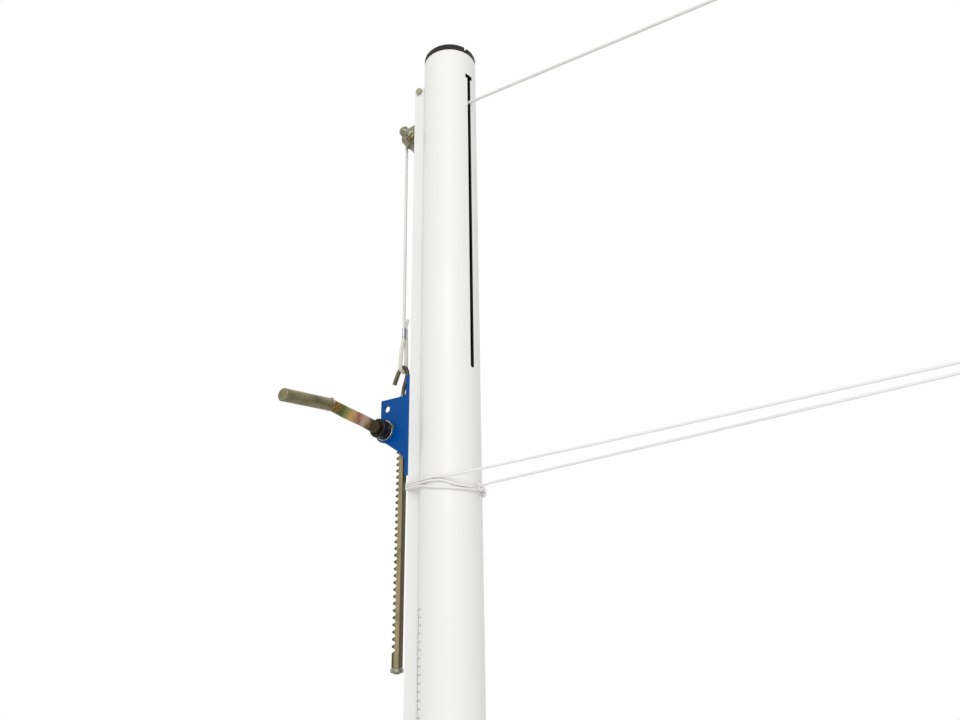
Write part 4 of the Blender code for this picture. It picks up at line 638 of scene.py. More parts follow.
def finishes():
    """Every finish by name, made once from the scene's settings."""
    colours = bpy.context.scene.post_finish
    cords = bpy.context.scene.post_cords
    gold, olive = tuple(colours.zinc_gold), tuple(colours.zinc_olive)
    white = tuple(colours.post_paint)
    teeth, back = (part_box("rack_bar")[side][0] for side in (0, 1))
    makers = {
        "white_powder_coat": lambda: powder_coat("white_powder_coat", white, linear("ECEDEA"), 0.00012,
                                                 0.28),
        "blue_powder_coat": lambda: powder_coat("blue_powder_coat", tuple(colours.housing_paint),
                                                linear("004890"), 0.00014, 0.14),
        # Bare steel of the tube's bore, its own dark tone darkened further as painted shade; the slot's
        # walls take it too.
        "bore_steel_and_shade": lambda: bare_metal("bore_steel_and_shade", linear("32302E"), linear("262422"),
                                             0.5, 0.7, 0.8, 0.2),
        "yellow_zinc": lambda: yellow_zinc("yellow_zinc", gold, olive),
        "bracket_zinc": lambda: yellow_zinc("bracket_zinc", linear("8C8C78"), linear("50523A"), 0.6,
                                             16.0),
        # The rack's back face, which faces the rail, and its teeth's flanks get a painted shade.
        "rack_zinc": lambda: yellow_zinc("rack_zinc", linear("A0926E"), linear("807850"),
                                         painted_shade_bands=((back - 0.0008, back - 0.0002),
                                                  (teeth + 0.0050, teeth + 0.0030))),
        "hook_zinc": lambda: yellow_zinc("hook_zinc", linear("625F40"), linear("46442E")),
        "grip_zinc": lambda: yellow_zinc("grip_zinc", linear("8A8260"), linear("686240"), 0.45, 26.0),
        "weld_bead": lambda: bare_metal("zinc_plated_weld", linear("B5AC8C"), linear("5A5238"),
                                        0.18, 0.4, 0.5, 0.6),
        "pale_zinc": lambda: bare_metal("pale_yellow_zinc", linear("EFE5C6"), linear("B9AF88"),
                                        0.12, 0.26, 0.8, 0.95),
        "bolt_zinc": lambda: yellow_zinc("bolt_zinc", linear("B8AF94"), linear("3A3624"), 0.5, 5.0),
        "dull_zinc": lambda: bare_metal("dull_green_zinc", linear("A5A594"), linear("6E6F60"),
                                        0.2, 0.42, 0.8, 0.7),
        "yellow_zinc_banded": rainbow_zinc,
        "bright_zinc": lambda: bare_metal("bright_zinc", linear("BDBFAE"), linear("959A84"), 0.2, 0.42),
        "machined_steel": lambda: bare_metal("machined_steel", linear("A9A9A6"), linear("8A8986"),
                                             0.22, 0.4),
        "spring_steel": lambda: bare_metal("spring_steel", linear("8A8A8C"), linear("6F6F72"), 0.2, 0.36),
        "bronze": lambda: bare_metal("sintered_bronze", linear("B08A4E"), linear("8E6B38"), 0.35, 0.55,
                                     0.4),
        "pressed_aluminium": lambda: bare_metal("pressed_aluminium", linear("C6C8CA"),
                                                linear("A5A8AA"), 0.28, 0.48),
        "black_oxide_steel": lambda: bare_metal("black_oxide_steel", linear("2E2E2B"),
                                                linear("211F1D"), 0.32, 0.5, 0.7, 0.75),
        "black_plastic": lambda: moulded("moulded_polyethylene", linear("403B3A"), linear("2C2727"),
                                         0.4, 0.55, specular=0.05),
        "acetal": lambda: moulded("natural_acetal", linear("E2E1D8"), linear("D5D3C8"), 0.35, 0.5),
        "brake_lining": lambda: moulded("woven_brake_lining", linear("6B5138"), linear("4A3826"),
                                        0.75, 0.9, 0.9, 0.0003),
        "white_coated_cable": lambda: cable_sheath("white_pvc_sheath", linear("ECEBE7"),
                                                   linear("D6D5D0")),
        "eye_sleeve": lambda: cable_sheath("cream_pvc_sleeve", linear("E8E4DA"), linear("D8D2C4")),
        "white_braided_cord": lambda: braided_cord(tuple(colours.cord_white), cords.plait),
        "print_ink": lambda: print_ink("plum_print_ink", linear("332C3C"), linear("6A6074")),
        "pale_ink": lambda: print_ink("pale_plum_ink", linear("9C92A8"), linear("C0B8C8")),
    }
    return makers


MADE = {}


def material(name):
    """One shared material for each finish."""
    if name not in MADE:
        MADE[name] = finishes()[name]()
    return MADE[name]


# ---------------------------------------------------------------- stage
CAMERA_PLACE = Vector((0.6320, -0.9179, 1.8789))
CAMERA_HEADING = 1.007558       # radians from -X towards +Y
CAMERA_RISE = 0.387321
CAMERA_ROLL = -0.016721
CAMERA_LENS = 30.055


def aim_camera(camera):
    """Place the camera where the photograph was taken from."""
    level, rise = CAMERA_HEADING, CAMERA_RISE
    forward = Vector((-math.cos(level) * math.cos(rise), math.sin(level) * math.cos(rise),
                      math.sin(rise)))
    right = Vector((math.sin(level), math.cos(level), 0.0))
    upward = right.cross(forward)
    roll_right = math.cos(CAMERA_ROLL) * right + math.sin(CAMERA_ROLL) * upward
    roll_up = -math.sin(CAMERA_ROLL) * right + math.cos(CAMERA_ROLL) * upward
    place = Matrix((roll_right, roll_up, -forward)).transposed().to_4x4()
    place.translation = CAMERA_PLACE
    camera.matrix_world = place


def add_area(name, place, target, size, power):
    """Soft square lamp turned towards a point."""
    lamp = bpy.data.lights.new(name, "AREA")
    lamp.shape = "SQUARE"
    lamp.size = size
    lamp.energy = power
    made = bpy.data.objects.new(name, lamp)
    bpy.context.scene.collection.objects.link(made)
    made.location = place
    made.rotation_mode = "QUATERNION"
    made.rotation_quaternion = (Vector(target) - Vector(place)).to_track_quat("-Z", "Y")
    return made


class POST_OT_stage(bpy.types.Operator):
    """Camera, floor, white surroundings and soft lamps"""

    bl_idname = "post.stage"
    bl_label = "Stage"

    def execute(self, context):
        scene = context.scene
        scene.view_settings.view_transform = "Standard"
        camera = bpy.data.objects.new("photo_camera", bpy.data.cameras.new("photo_camera"))
        scene.collection.objects.link(camera)
        camera.data.lens = CAMERA_LENS
        camera.data.sensor_width = 36.0
        camera.data.clip_start = 0.01
        aim_camera(camera)
        scene.camera = camera

        bm = bmesh.new()
        bmesh.ops.create_circle(bm, cap_ends=True, radius=9.0, segments=96)
        floor = make_piece("studio_floor", bm)
        floor.data.materials.append(pale_floor())

        world = bpy.data.worlds.new("white_surroundings")
        world.use_nodes = True
        scene.world = world
        tree = world.node_tree
        path = add_node(tree, "ShaderNodeLightPath")
        seen = add_node(tree, "ShaderNodeMath",
                        {0: path.outputs["Is Camera Ray"], 1: path.outputs["Is Glossy Ray"]},
                        operation="MAXIMUM")
        shown = add_node(tree, "ShaderNodeMath",
                         {0: seen.outputs[0], 1: path.outputs["Is Transmission Ray"]},
                         operation="MAXIMUM")
        level = add_node(tree, "ShaderNodeMapRange",
                         {"Value": shown.outputs[0], "To Min": 0.66, "To Max": 1.0})
        back = tree.nodes["Background"]
        back.inputs["Color"].default_value = (1.0, 1.0, 1.0, 1.0)
        tree.links.new(level.outputs[0], back.inputs["Strength"])

        middle = (0.0, 0.0, 2.3)
        add_area("key_lamp", (1.45, -3.05, 3.7), middle, 2.1, 45.0)
        add_area("front_lamp", (1.6, -2.4, 1.2), middle, 1.6, 9.0)
        return {"FINISHED"}


# ---------------------------------------------------------------- top cable
def cable_form(cords, start=0.0):
    """Radius of the sheathed wire rope: round strands with shallow hollows that wind along it."""
    def radius(angle, along):
        turn = cords.strands * (angle - math.tau * (along + start) / cords.lay)
        return CABLE_RADIUS - cords.strand_depth * (1.0 - abs(math.cos(turn / 2)))
    return radius


def sleeved(angle, along):
    """Plain round radius of a sleeved eye."""
    return SLEEVE_RADIUS


def sheathed(angle, along):
    """Plain round radius of the cable's short tail."""
    return CABLE_RADIUS


def ferrule(name, node, start, end, side):
    """Oval sleeve pressed in narrow steps, its ends drawn in."""
    start, end = Vector(start), Vector(end)
    length = (end - start).length
    a, b = FERRULE_HALF_WIDTH, FERRULE_HALF_DEPTH

    def radius(angle, along):
        oval = a * b / math.hypot(b * math.cos(angle), a * math.sin(angle))
        share = along / length
        at_end = min(share, 1.0 - share)
        press = 0.94 + 0.06 * abs(math.cos(math.pi * 4.5 * share)) ** 0.6
        drawn = 0.84 + 0.16 * min(1.0, at_end / 0.07)
        return oval * min(press, drawn)

    bm = swept(straight_route([start, end], length / 46), radius, 40, side)
    return finish(make_piece(name, bm), material("pressed_aluminium"), node)


class POST_OT_top_cable(bpy.types.Operator):
    """Sheathed wire rope from the rack's hook over the pulley to the net, with its eyes"""

    bl_idname = "post.top_cable"
    bl_label = "Top cable"

    def execute(self, context):
        cords = context.scene.post_cords
        sheath = material("white_coated_cable")
        fine = 0.0012

        run = [NET_FRAME @ Vector((reach, 0, 0)) for reach in (2 * GAP, NET_CABLE_LENGTH)]
        path = straight_route(run, fine)
        bm = swept(path, cable_form(cords), 24, (0, 0, 1))
        net_cable = finish(make_piece("net_cable_rope", bm), sheath, "net_cable")
        sleeve_start = NET_CABLE_LENGTH + GAP
        sleeve_end = sleeve_start + 0.018
        sleeve = ferrule("net_ferrule_pressed", "net_ferrule", NET_FRAME @ Vector((sleeve_start, 0, 0)),
                         NET_FRAME @ Vector((sleeve_end, 0, 0)), (0, 0, 1))

        lead = SLEEVE_RADIUS + GAP / 2
        side = EYE_HALF_WIDTH
        base = sleeve_end + GAP
        tip = base + NET_EYE_LENGTH
        eye = [(base, -lead), (base + 0.006, -lead), (base + 0.022, -side * 0.7),
               (tip - side * 1.3, -side), (tip - side * 0.3, -side * 0.72), (tip, 0)]
        eye += [(x, -z) for x, z in reversed(eye[:-1])]
        route = smooth_route([NET_FRAME @ Vector((x, 0, z)) for x, z in eye], fine)
        net_eye = finish(make_piece("net_eye_rope", swept(route, sleeved, 20, (0, 1, 0))),
                         material("eye_sleeve"), "net_eye")

        turn = [Vector((PULLEY_AXIS.x - PULLEY_PITCH_RADIUS * math.cos(angle), 0,
                        PULLEY_AXIS.z + PULLEY_PITCH_RADIUS * math.sin(angle)))
                for angle in [math.radians(step) for step in range(0, 91, 3)]]
        path = turn + straight_route([turn[-1], SLOT_EXIT], fine)[1:]
        bm = swept(path, cable_form(cords), 24, (0, 1, 0))
        finish(make_piece("pulley_cable_rope", bm), sheath, "pulley_cable")

        low, high = (Vector(corner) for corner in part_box("tension_cable"))
        leaving = Vector((PULLEY_AXIS.x - PULLEY_PITCH_RADIUS, 0, high.z))
        path = straight_route([leaving, (CABLE_X, 0, low.z)], fine)
        bm = swept(path, cable_form(cords), 24, (0, 1, 0))
        drop = finish(make_piece("tension_cable_rope", bm), sheath, "tension_cable")
        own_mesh(drop)

        self.add_hook_eye(fine)
        return {"FINISHED"}

    def add_hook_eye(self, fine):
        low, high = (Vector(corner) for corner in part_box("hook_ferrule"))
        beside = 2 * CABLE_RADIUS + GAP
        middle = beside / 2
        ferrule("hook_ferrule_pressed", "hook_ferrule", (CABLE_X, middle, low.z),
                (CABLE_X, middle, high.z), (0, 1, 0))
        side = EYE_HALF_WIDTH + 0.0009
        eye_low = HOOK_CROWN - HOOK_RADIUS - SLEEVE_RADIUS - GAP - EYE_SEAT
        eye = [(-0.0006, low.z - GAP), (-0.0012, low.z - 0.006), (-side * 0.70, low.z - 0.022),
               (-side * 0.94, eye_low + side * 1.6), (-side, eye_low + side * 0.9),
               (-side * 0.72, eye_low + side * 0.3), (0, eye_low), (side * 0.72, eye_low + side * 0.3),
               (side, eye_low + side * 0.9), (side * 0.98, eye_low + side * 1.6),
               (side * 0.92, low.z - 0.022), (beside + 0.0010, low.z - 0.006),
               (beside + 0.0006, low.z - GAP)]
        route = smooth_route([Vector((CABLE_X, y, z)) for y, z in eye], fine)
        finish(make_piece("hook_eye_rope", swept(route, sleeved, 20, (1, 0, 0))),
               material("eye_sleeve"), "hook_eye")
        tail = [(0, high.z + GAP), (0.0002, high.z + 0.007), (0.0022, high.z + 0.0125),
                (0.0030, high.z + 0.0165)]
        route = smooth_route([Vector((CABLE_X + x, beside, z)) for x, z in tail], 0.0006)
        finish(make_piece("cable_tail_rope", swept(route, sheathed, 20, (0, 1, 0))),
               material("white_coated_cable"), "cable_tail", 0.0003)


# ---------------------------------------------------------------- lower cord
def braided(angle, along):
    """Round radius of the braided cord."""
    return CORD_RADIUS


def on_post(degrees, drop, lift=0.0):
    """A point of the cord on the post's surface, lifted over another strand if asked."""
    reach = POST_RADIUS + 2 * GAP + CORD_RADIUS + lift
    turn = math.radians(degrees)
    return Vector((reach * math.cos(turn), reach * math.sin(turn), POST_TOP - drop))


def round_rail(side, drop):
    """Points round one outer corner of the rail, on the given side."""
    half = RAIL_WIDTH / 2
    reach = CORD_RADIUS + 1.5 * GAP
    turns = [math.radians(step) for step in (90, 60, 30, 0)]
    return [Vector((RAIL_FACE_X - reach * math.cos(turn), side * (half + reach * math.sin(turn)),
                    POST_TOP - drop)) for turn in turns]


def post_turn(near, rail, far):
    """One turn: down the crank's side, round the rail and back on the far side."""
    back = [on_post(degrees, drop) for degrees, drop in far]
    return ([on_post(degrees, drop) for degrees, drop in near] + round_rail(-1, rail[0])
            + list(reversed(round_rail(1, rail[1]))) + back)


class POST_OT_lower_cord(bpy.types.Operator):
    """Braided cord: out to the net and back, then turns round the post and its knot"""

    bl_idname = "post.lower_cord"
    bl_label = "Lower cord"

    def execute(self, context):
        braid = material("white_braided_cord")
        fine = 0.0016
        out = [(0.0565, -0.0030, 0.7554), (0.0682, -0.0028, 0.7536), (0.3000, -0.0018, 0.7400),
               (0.5608, -0.0011, 0.7240), (0.6369, -0.0005, 0.7193), (0.6800, -0.0004, 0.7168),
               (0.6885, -0.0004, 0.7152), (0.6925, -0.0004, 0.7110), (0.6885, -0.0006, 0.7068),
               (0.6800, -0.0012, 0.7062), (0.6394, -0.0040, 0.7089), (0.5638, -0.0090, 0.7137),
               (0.2449, -0.0302, 0.7337), (0.0817, -0.0412, 0.7431), (0.0250, -0.0450, 0.7462)]
        out = [Vector((x, y, POST_TOP - drop)) for x, y, drop in out]
        bight = slice(5, 10)
        upper = post_turn([(-84, 0.7446), (-102, 0.7449), (-119, 0.7440)], (0.7393, 0.7410),
                          [(119, 0.7448), (90, 0.7476), (60, 0.7505), (30, 0.7530), (16, 0.7540)])
        path = (straight_route(out[:6], fine)[:-1] + smooth_route(out[bight], fine)[:-1]
                + straight_route(out[9:], fine) + smooth_route(upper, fine))
        cord = finish(make_piece("lower_cord_braid", swept(path, braided, 14, (0, 0, 1))), braid,
                      "lower_cord")

        middle = post_turn([(-17, 0.7578), (-30, 0.7576), (-46, 0.7562), (-60, 0.7528),
                            (-74, 0.7497), (-93, 0.7489), (-119, 0.7482)], (0.7428, 0.7446),
                           [(119, 0.7488), (90, 0.7516), (60, 0.7550), (30, 0.7580), (0, 0.7605)])
        lower = post_turn([(-16, 0.7615), (-45, 0.7616), (-74, 0.7598), (-95, 0.7570),
                           (-119, 0.7524)], (0.7463, 0.7482),
                          [(119, 0.7528), (90, 0.7558), (60, 0.7592), (30, 0.7622), (14, 0.7636)])
        turns_path = smooth_route(middle + lower, fine)
        turns = finish(make_piece("lower_cord_turns_braid", swept(turns_path, braided, 14, (0, 0, 1))),
                       braid, "lower_cord_turns")
        knot = self.add_knot(braid)
        tail_path = smooth_route([on_post(12, 0.7575, 0.0020), on_post(15, 0.7600, 0.0040),
                                  on_post(15, 0.7650, 0.0040), on_post(16, 0.7690, 0.0010)], 0.0008)
        tail = finish(make_piece("cord_tail_braid", swept(tail_path, braided, 14, (0, 1, 0))), braid,
                      "cord_tail", 0.0005)
        return {"FINISHED"}

    def add_knot(self, braid):
        """Overhand knot: the cord crossed through itself and drawn tight."""
        centre = on_post(-2, 0.7558, 0.0048)
        low, high = (Vector(corner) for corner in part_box("cord_knot"))
        reach = (high - low) / 2 - Vector((1.0, 1.0, 1.0)) * CORD_RADIUS
        route = []
        steps = 150
        for step in range(steps + 1):
            turn = math.radians(20) + math.radians(320) * step / steps
            route.append(centre + Vector((
                -reach.x * math.sin(3 * turn),
                reach.y * (math.sin(turn) + 2 * math.sin(2 * turn)) / 3,
                reach.z * (math.cos(turn) - 2 * math.cos(2 * turn)) / 3)))
        bm = swept(route, braided, 14, (1, 0, 0))
        return finish(make_piece("cord_knot_braid", bm), braid, "cord_knot", 0.0004)


# ---------------------------------------------------------------- post and rail
def slot_cutter(width, low_x, high_x, head=None):
    """Closed cutter of a slot: straight sides, round foot and an optional wider head."""
    half = width / 2
    bottom = SLOT_TOP - SLOT_LENGTH
    outline = arc((0, bottom + half), half, math.pi, math.tau, 20)
    if head:
        wide, tall = head
        outline += [(half, SLOT_TOP - tall), (wide / 2, SLOT_TOP - tall), (wide / 2, SLOT_TOP),
                    (-wide / 2, SLOT_TOP), (-wide / 2, SLOT_TOP - tall), (-half, SLOT_TOP - tall)]
    else:
        outline += [(half, SLOT_TOP), (-half, SLOT_TOP)]
    bm = prism(outline, low_x, high_x)
    turn = Matrix(((0, 1, 0, 0), (1, 0, 0, 0), (0, 0, 1, 0), (0, 0, 0, 1)))
    bmesh.ops.transform(bm, matrix=turn, verts=bm.verts)
    bmesh.ops.recalc_face_normals(bm, faces=bm.faces)
    return bm


class POST_OT_post(bpy.types.Operator):
    """Slotted tube, its black cap and its foot plug"""

    bl_idname = "post.post"
    bl_label = "Post"

    def execute(self, context):
        inner = POST_RADIUS - POST_WALL
        bm = turned([(POST_RADIUS, POST_TOP), (POST_RADIUS, POST_LOW), (inner, POST_LOW),
                     (inner, POST_TOP)], (0, 0, 0), "Z", 192)
        tube = make_piece("post_tube_coated", bm)
        deep, far = POST_RADIUS / 2, POST_RADIUS * 1.5
        front = slot_cutter(SLOT_WIDTH, deep, far, (SLOT_HEAD_WIDTH, SLOT_HEAD_HEIGHT))
        bmesh.ops.rotate(front, verts=front.verts, cent=(0, 0, 0),
                         matrix=Matrix.Rotation(SLOT_TURN, 3, "Z"))
        combine(tube, front)
        combine(tube, slot_cutter(BACK_SLOT_WIDTH, -far, -deep))
        finish(tube, material("white_powder_coat"), "post_tube", 0.0004)
        # The bore and the slot's walls get the dark steel with its painted shade.
        tube.data.materials.append(material("bore_steel_and_shade"))
        for face in tube.data.polygons:
            face.material_index = int(face.center.xy.length < POST_RADIUS - 0.0004)
        dressed("top_cap_moulded", "top_cap", material("black_plastic"), 0.0005, 3)
        dressed("foot_plug_moulded", "foot_plug", material("black_plastic"), 0.0008, 3)
        return {"FINISHED"}


class POST_OT_rail(bpy.types.Operator):
    """Welded C rail and the cross bolt that ends its run"""

    bl_idname = "post.rail"
    bl_label = "Rail"

    def execute(self, context):
        dressed("rail_coated", "rail", material("white_powder_coat"), 0.0004)
        low, high = (Vector(corner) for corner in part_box("rail_end_bolt"))
        nut_low, nut_high = (Vector(corner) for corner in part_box("rail_end_nut"))
        centre = Vector(((nut_low.x + nut_high.x) / 2, 0.0, (nut_low.z + nut_high.z) / 2))
        flats = 0.011
        shank_radius = 0.0035
        head_end = low.y + 0.0048
        bolt = hexagon("rail_end_bolt_plated", centre, "Y", low.y, head_end, flats, (True, False))
        shank = [(0, high.y), (0, head_end - 0.001), (shank_radius, head_end - 0.001)]
        shank += thread(shank_radius, 0.001, head_end + 0.022, high.y - 0.0006)
        shank.append((shank_radius - 0.0008, high.y))
        combine(bolt, turned(shank, centre, "Y", 64), "UNION")
        finish(bolt, material("bolt_zinc"), "rail_end_bolt", 0.0005)
        nut = hexagon("rail_end_nut_plated", centre, "Y", nut_low.y, nut_high.y, flats)
        bore = shank_radius + GAP
        combine(nut, turned([(0, nut_low.y - 0.01), (bore, nut_low.y - 0.01),
                             (bore, nut_high.y + 0.01), (0, nut_high.y + 0.01)], centre, "Y", 64))
        finish(nut, material("hook_zinc"), "rail_end_nut", 0.0002)
        return {"FINISHED"}


class POST_OT_scale_print(bpy.types.Operator):
    """Height scale printed on the post: fine lines with plain numbers"""

    bl_idname = "post.scale_print"
    bl_label = "Height scale"

    def execute(self, context):
        scale = context.scene.post_print
        dots, marks = bmesh.new(), bmesh.new()
        for index in range(scale.lines * 10):
            middle = scale.top - scale.pitch * index / 10
            whole = index % 10 == 0
            length, half = (0.0024, 0.00110) if whole else (0.0013, 0.00026)
            length += 0.0014 if index % 10 == 5 else 0.0
            place = Matrix.Translation((length / 2, middle, 0)) @ Matrix.Diagonal(
                (length / 2, half, 1.0, 1.0))
            bmesh.ops.create_grid(dots, x_segments=2, y_segments=1, size=1.0, matrix=place)
            if whole:
                self.add_numeral(marks, str(round(middle * 100)), 0.0044, middle, scale.numeral)
        self.wrap(dots, "height_scale_dots", "print_ink")
        self.wrap(marks, "height_scale_marks", "pale_ink")
        return {"FINISHED"}

    def wrap(self, bm, name, ink):
        """Lay the flat print round the post as one thin skin of ink."""
        scale = bpy.context.scene.post_print
        for vert in bm.verts:
            turn = scale.angle + vert.co.x / POST_RADIUS
            reach = POST_RADIUS + 0.00006
            vert.co = Vector((reach * math.cos(turn), reach * math.sin(turn), vert.co.y))
        bmesh.ops.recalc_face_normals(bm, faces=bm.faces)
        piece = finish(make_piece(name, bm), material(ink), body="post")
        skin = piece.modifiers.new("Ink", "SOLIDIFY")
        skin.thickness = 0.00005
        skin.offset = 1.0

    def add_numeral(self, bm, text, left, middle, height):
        curve = bpy.data.curves.new("numeral", "FONT")
        curve.body = text
        curve.size = height
        curve.align_y = "CENTER"
        holder = bpy.data.objects.new("numeral", curve)
        bpy.context.scene.collection.objects.link(holder)
        depsgraph = bpy.context.evaluated_depsgraph_get()
        mesh = bpy.data.meshes.new_from_object(holder.evaluated_get(depsgraph))
        mesh.transform(Matrix.Translation((left, middle, 0)))
        bm.from_mesh(mesh)
        bpy.data.objects.remove(holder, do_unlink=True)
        bpy.data.curves.remove(curve)
        bpy.data.meshes.remove(mesh)


# ---------------------------------------------------------------- pulley carriage
def ring(name, node, finish_name, inner, outer, start, end, centre, axis, bevel=0.0002):
    """Plain ring between two places on an axis."""
    bm = turned([(inner, start), (inner, end), (outer, end), (outer, start)], centre, axis, 72)
    return finish(make_piece(name, bm), material(finish_name), node, bevel)


class POST_OT_carriage(bpy.types.Operator):
    """Bent bracket with its pulley, axle, nuts and clamp"""

    bl_idname = "post.carriage"
    bl_label = "Pulley carriage"

    def execute(self, context):
        zinc = material("yellow_zinc")
        dressed("pulley_bracket_plated", "pulley_bracket", material("bracket_zinc"), 0.0005, 3)
        self.add_wheel()
        for place in ("near", "far"):
            low, high = (Vector(corner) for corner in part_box(f"pulley_spacer_{place}"))
            ring(f"pulley_spacer_{place}_plated", f"pulley_spacer_{place}", "bright_zinc",
                 AXLE_RADIUS + GAP, AXLE_RADIUS + GAP + 0.003, low.y, high.y, PULLEY_AXIS, "Y")
        low, high = (Vector(corner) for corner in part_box("pulley_washer"))
        ring("pulley_washer_plated", "pulley_washer", "pale_zinc", AXLE_RADIUS + GAP,
             (high.x - low.x) / 2, low.y, high.y, PULLEY_AXIS, "Y", 0.0004)
        self.add_axle(zinc)
        dressed("carriage_slide_nut_machined", "carriage_slide_nut", material("machined_steel"), 0.0004)
        add_clamp_screw("carriage_clamp_screw")
        return {"FINISHED"}

    def add_wheel(self):
        """Grooved wheel with dished sides, and the bronze bush pressed into it."""
        half = PULLEY_WIDTH / 2
        lip = 0.0008
        bore = AXLE_RADIUS + GAP + 0.0015 + GAP
        mouth = CABLE_RADIUS + GAP
        dish = half - 0.0012
        hub = bore + 0.0022
        cup = [(PULLEY_PITCH_RADIUS - mouth * math.cos(turn), mouth * math.sin(turn))
               for turn in [math.radians(step) for step in range(-80, 81, 8)]]
        profile = [(bore, half), (bore, -half), (hub, -half), (hub + 0.0008, -dish),
                   (PULLEY_RADIUS - 0.0042, -dish), (PULLEY_RADIUS - 0.0032, -half),
                   (PULLEY_RADIUS - lip, -half), (PULLEY_RADIUS, -half + lip),
                   (PULLEY_RADIUS, -mouth - lip)]
        profile += cup
        profile += [(PULLEY_RADIUS, mouth + lip), (PULLEY_RADIUS, half - lip),
                    (PULLEY_RADIUS - lip, half), (PULLEY_RADIUS - 0.0032, half),
                    (PULLEY_RADIUS - 0.0042, dish), (hub + 0.0008, dish), (hub, half)]
        bm = turned(profile, PULLEY_AXIS, "Y", 96)
        finish(make_piece("pulley_wheel_plated", bm), material("bright_zinc"), "pulley_wheel", 0.0002)
        ring("pulley_bush_bronze", "pulley_bush", "bronze", AXLE_RADIUS + GAP,
             AXLE_RADIUS + GAP + 0.0015, -half, half, PULLEY_AXIS, "Y")

    def add_axle(self, zinc):
        low, high = (Vector(corner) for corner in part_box("pulley_axle_bolt"))
        flats = 0.017
        head = high.y - 0.0064
        bolt = hexagon("pulley_axle_bolt_plated", PULLEY_AXIS, "Y", head, high.y, flats, (False, True))
        shank = [(0, head + 0.001), (0, low.y), (AXLE_RADIUS - 0.0009, low.y)]
        shank += thread(AXLE_RADIUS, 0.0015, low.y + 0.0004, low.y + 0.0229)
        shank += [(AXLE_RADIUS, low.y + 0.0235), (AXLE_RADIUS, head + 0.001)]
        combine(bolt, turned(shank, PULLEY_AXIS, "Y", 72), "UNION")
        finish(bolt, zinc, "pulley_axle_bolt", 0.0002)
        for node, name, crown in (("pulley_nut", "pale_zinc", False),
                                  ("pulley_lock_nut", "dull_zinc", True)):
            low, high = (Vector(corner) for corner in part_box(node))
            outer = low.y + (0.0026 if crown else 0.0)
            nut = hexagon(f"{node}_plated", PULLEY_AXIS, "Y", outer, high.y, flats)
            if crown:
                collar = flats * 0.44
                cap = [(0, outer + 0.001), (collar, outer + 0.001), (collar, low.y + 0.0008),
                       (collar - 0.0012, low.y), (0, low.y)]
                combine(nut, turned(cap, PULLEY_AXIS, "Y", 72), "UNION")
            bore = AXLE_RADIUS + GAP
            hole = [(0, low.y - 0.01), (bore, low.y - 0.01), (bore, high.y + 0.01),
                    (0, high.y + 0.01)]
            combine(nut, turned(hole, PULLEY_AXIS, "Y", 72))
            finish(nut, material(name), node, 0.0002)


def add_clamp_screw(node):
    """Hexagon screw through a web into the slide nut."""
    low, high = (Vector(corner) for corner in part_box(node))
    z = (low.z + high.z) / 2
    head = low.x + 0.0053
    screw = hexagon(f"{node}_plated", (0, 0, z), "X", low.x, head, 0.013, (True, False))
    shank = [(0, head - 0.001), (0.004, head - 0.001)]
    shank += thread(0.004, 0.00125, head + 0.0030, high.x - 0.0005) + [(0.003, high.x), (0, high.x)]
    combine(screw, turned(shank, (0, 0, z), "X", 48), "UNION")
    finish(screw, material("yellow_zinc"), node, 0.0002)


# ---------------------------------------------------------------- tensioner
class POST_OT_tensioner(bpy.types.Operator):
    """Blue housing with its rail clamps, rack guide and shaft bushes"""

    bl_idname = "post.tensioner"
    bl_label = "Tensioner housing"

    def execute(self, context):
        dressed("tensioner_housing_coated", "tensioner_housing", material("blue_powder_coat"),
                0.0005, 3)
        for place in ("upper", "lower"):
            dressed(f"tensioner_slide_nut_{place}_machined", f"tensioner_slide_nut_{place}",
                    material("machined_steel"), 0.0004)
            add_clamp_screw(f"tensioner_clamp_screw_{place}")
        dressed("rack_guide_moulded", "rack_guide", material("acetal"), 0.0003)
        for place in ("near", "far"):
            dressed(f"shaft_bush_{place}_bronze", f"shaft_bush_{place}", material("bronze"), 0.0002)
        return {"FINISHED"}


class POST_OT_drive(bpy.types.Operator):
    """Pinion shaft, its collar and the hub brake's parts"""

    bl_idname = "post.drive"
    bl_label = "Pinion and brake"

    def execute(self, context):
        dressed("pinion_shaft_machined", "pinion_shaft", material("machined_steel"), 0.00015)
        dressed("shaft_collar_plated", "shaft_collar", material("bright_zinc"), 0.0003)
        dressed("collar_set_screw_black", "collar_set_screw", material("black_oxide_steel"), 0.0001)
        dressed("brake_ring_plated", "brake_ring", material("pale_zinc"), 0.0003)
        dressed("brake_ring_pin_plated", "brake_ring_pin", material("bright_zinc"), 0.0002)
        dressed("brake_lining_woven", "brake_lining", material("brake_lining"), 0.0002)
        dressed("brake_spring_steel", "brake_spring", material("spring_steel"), 0.0001)
        return {"FINISHED"}


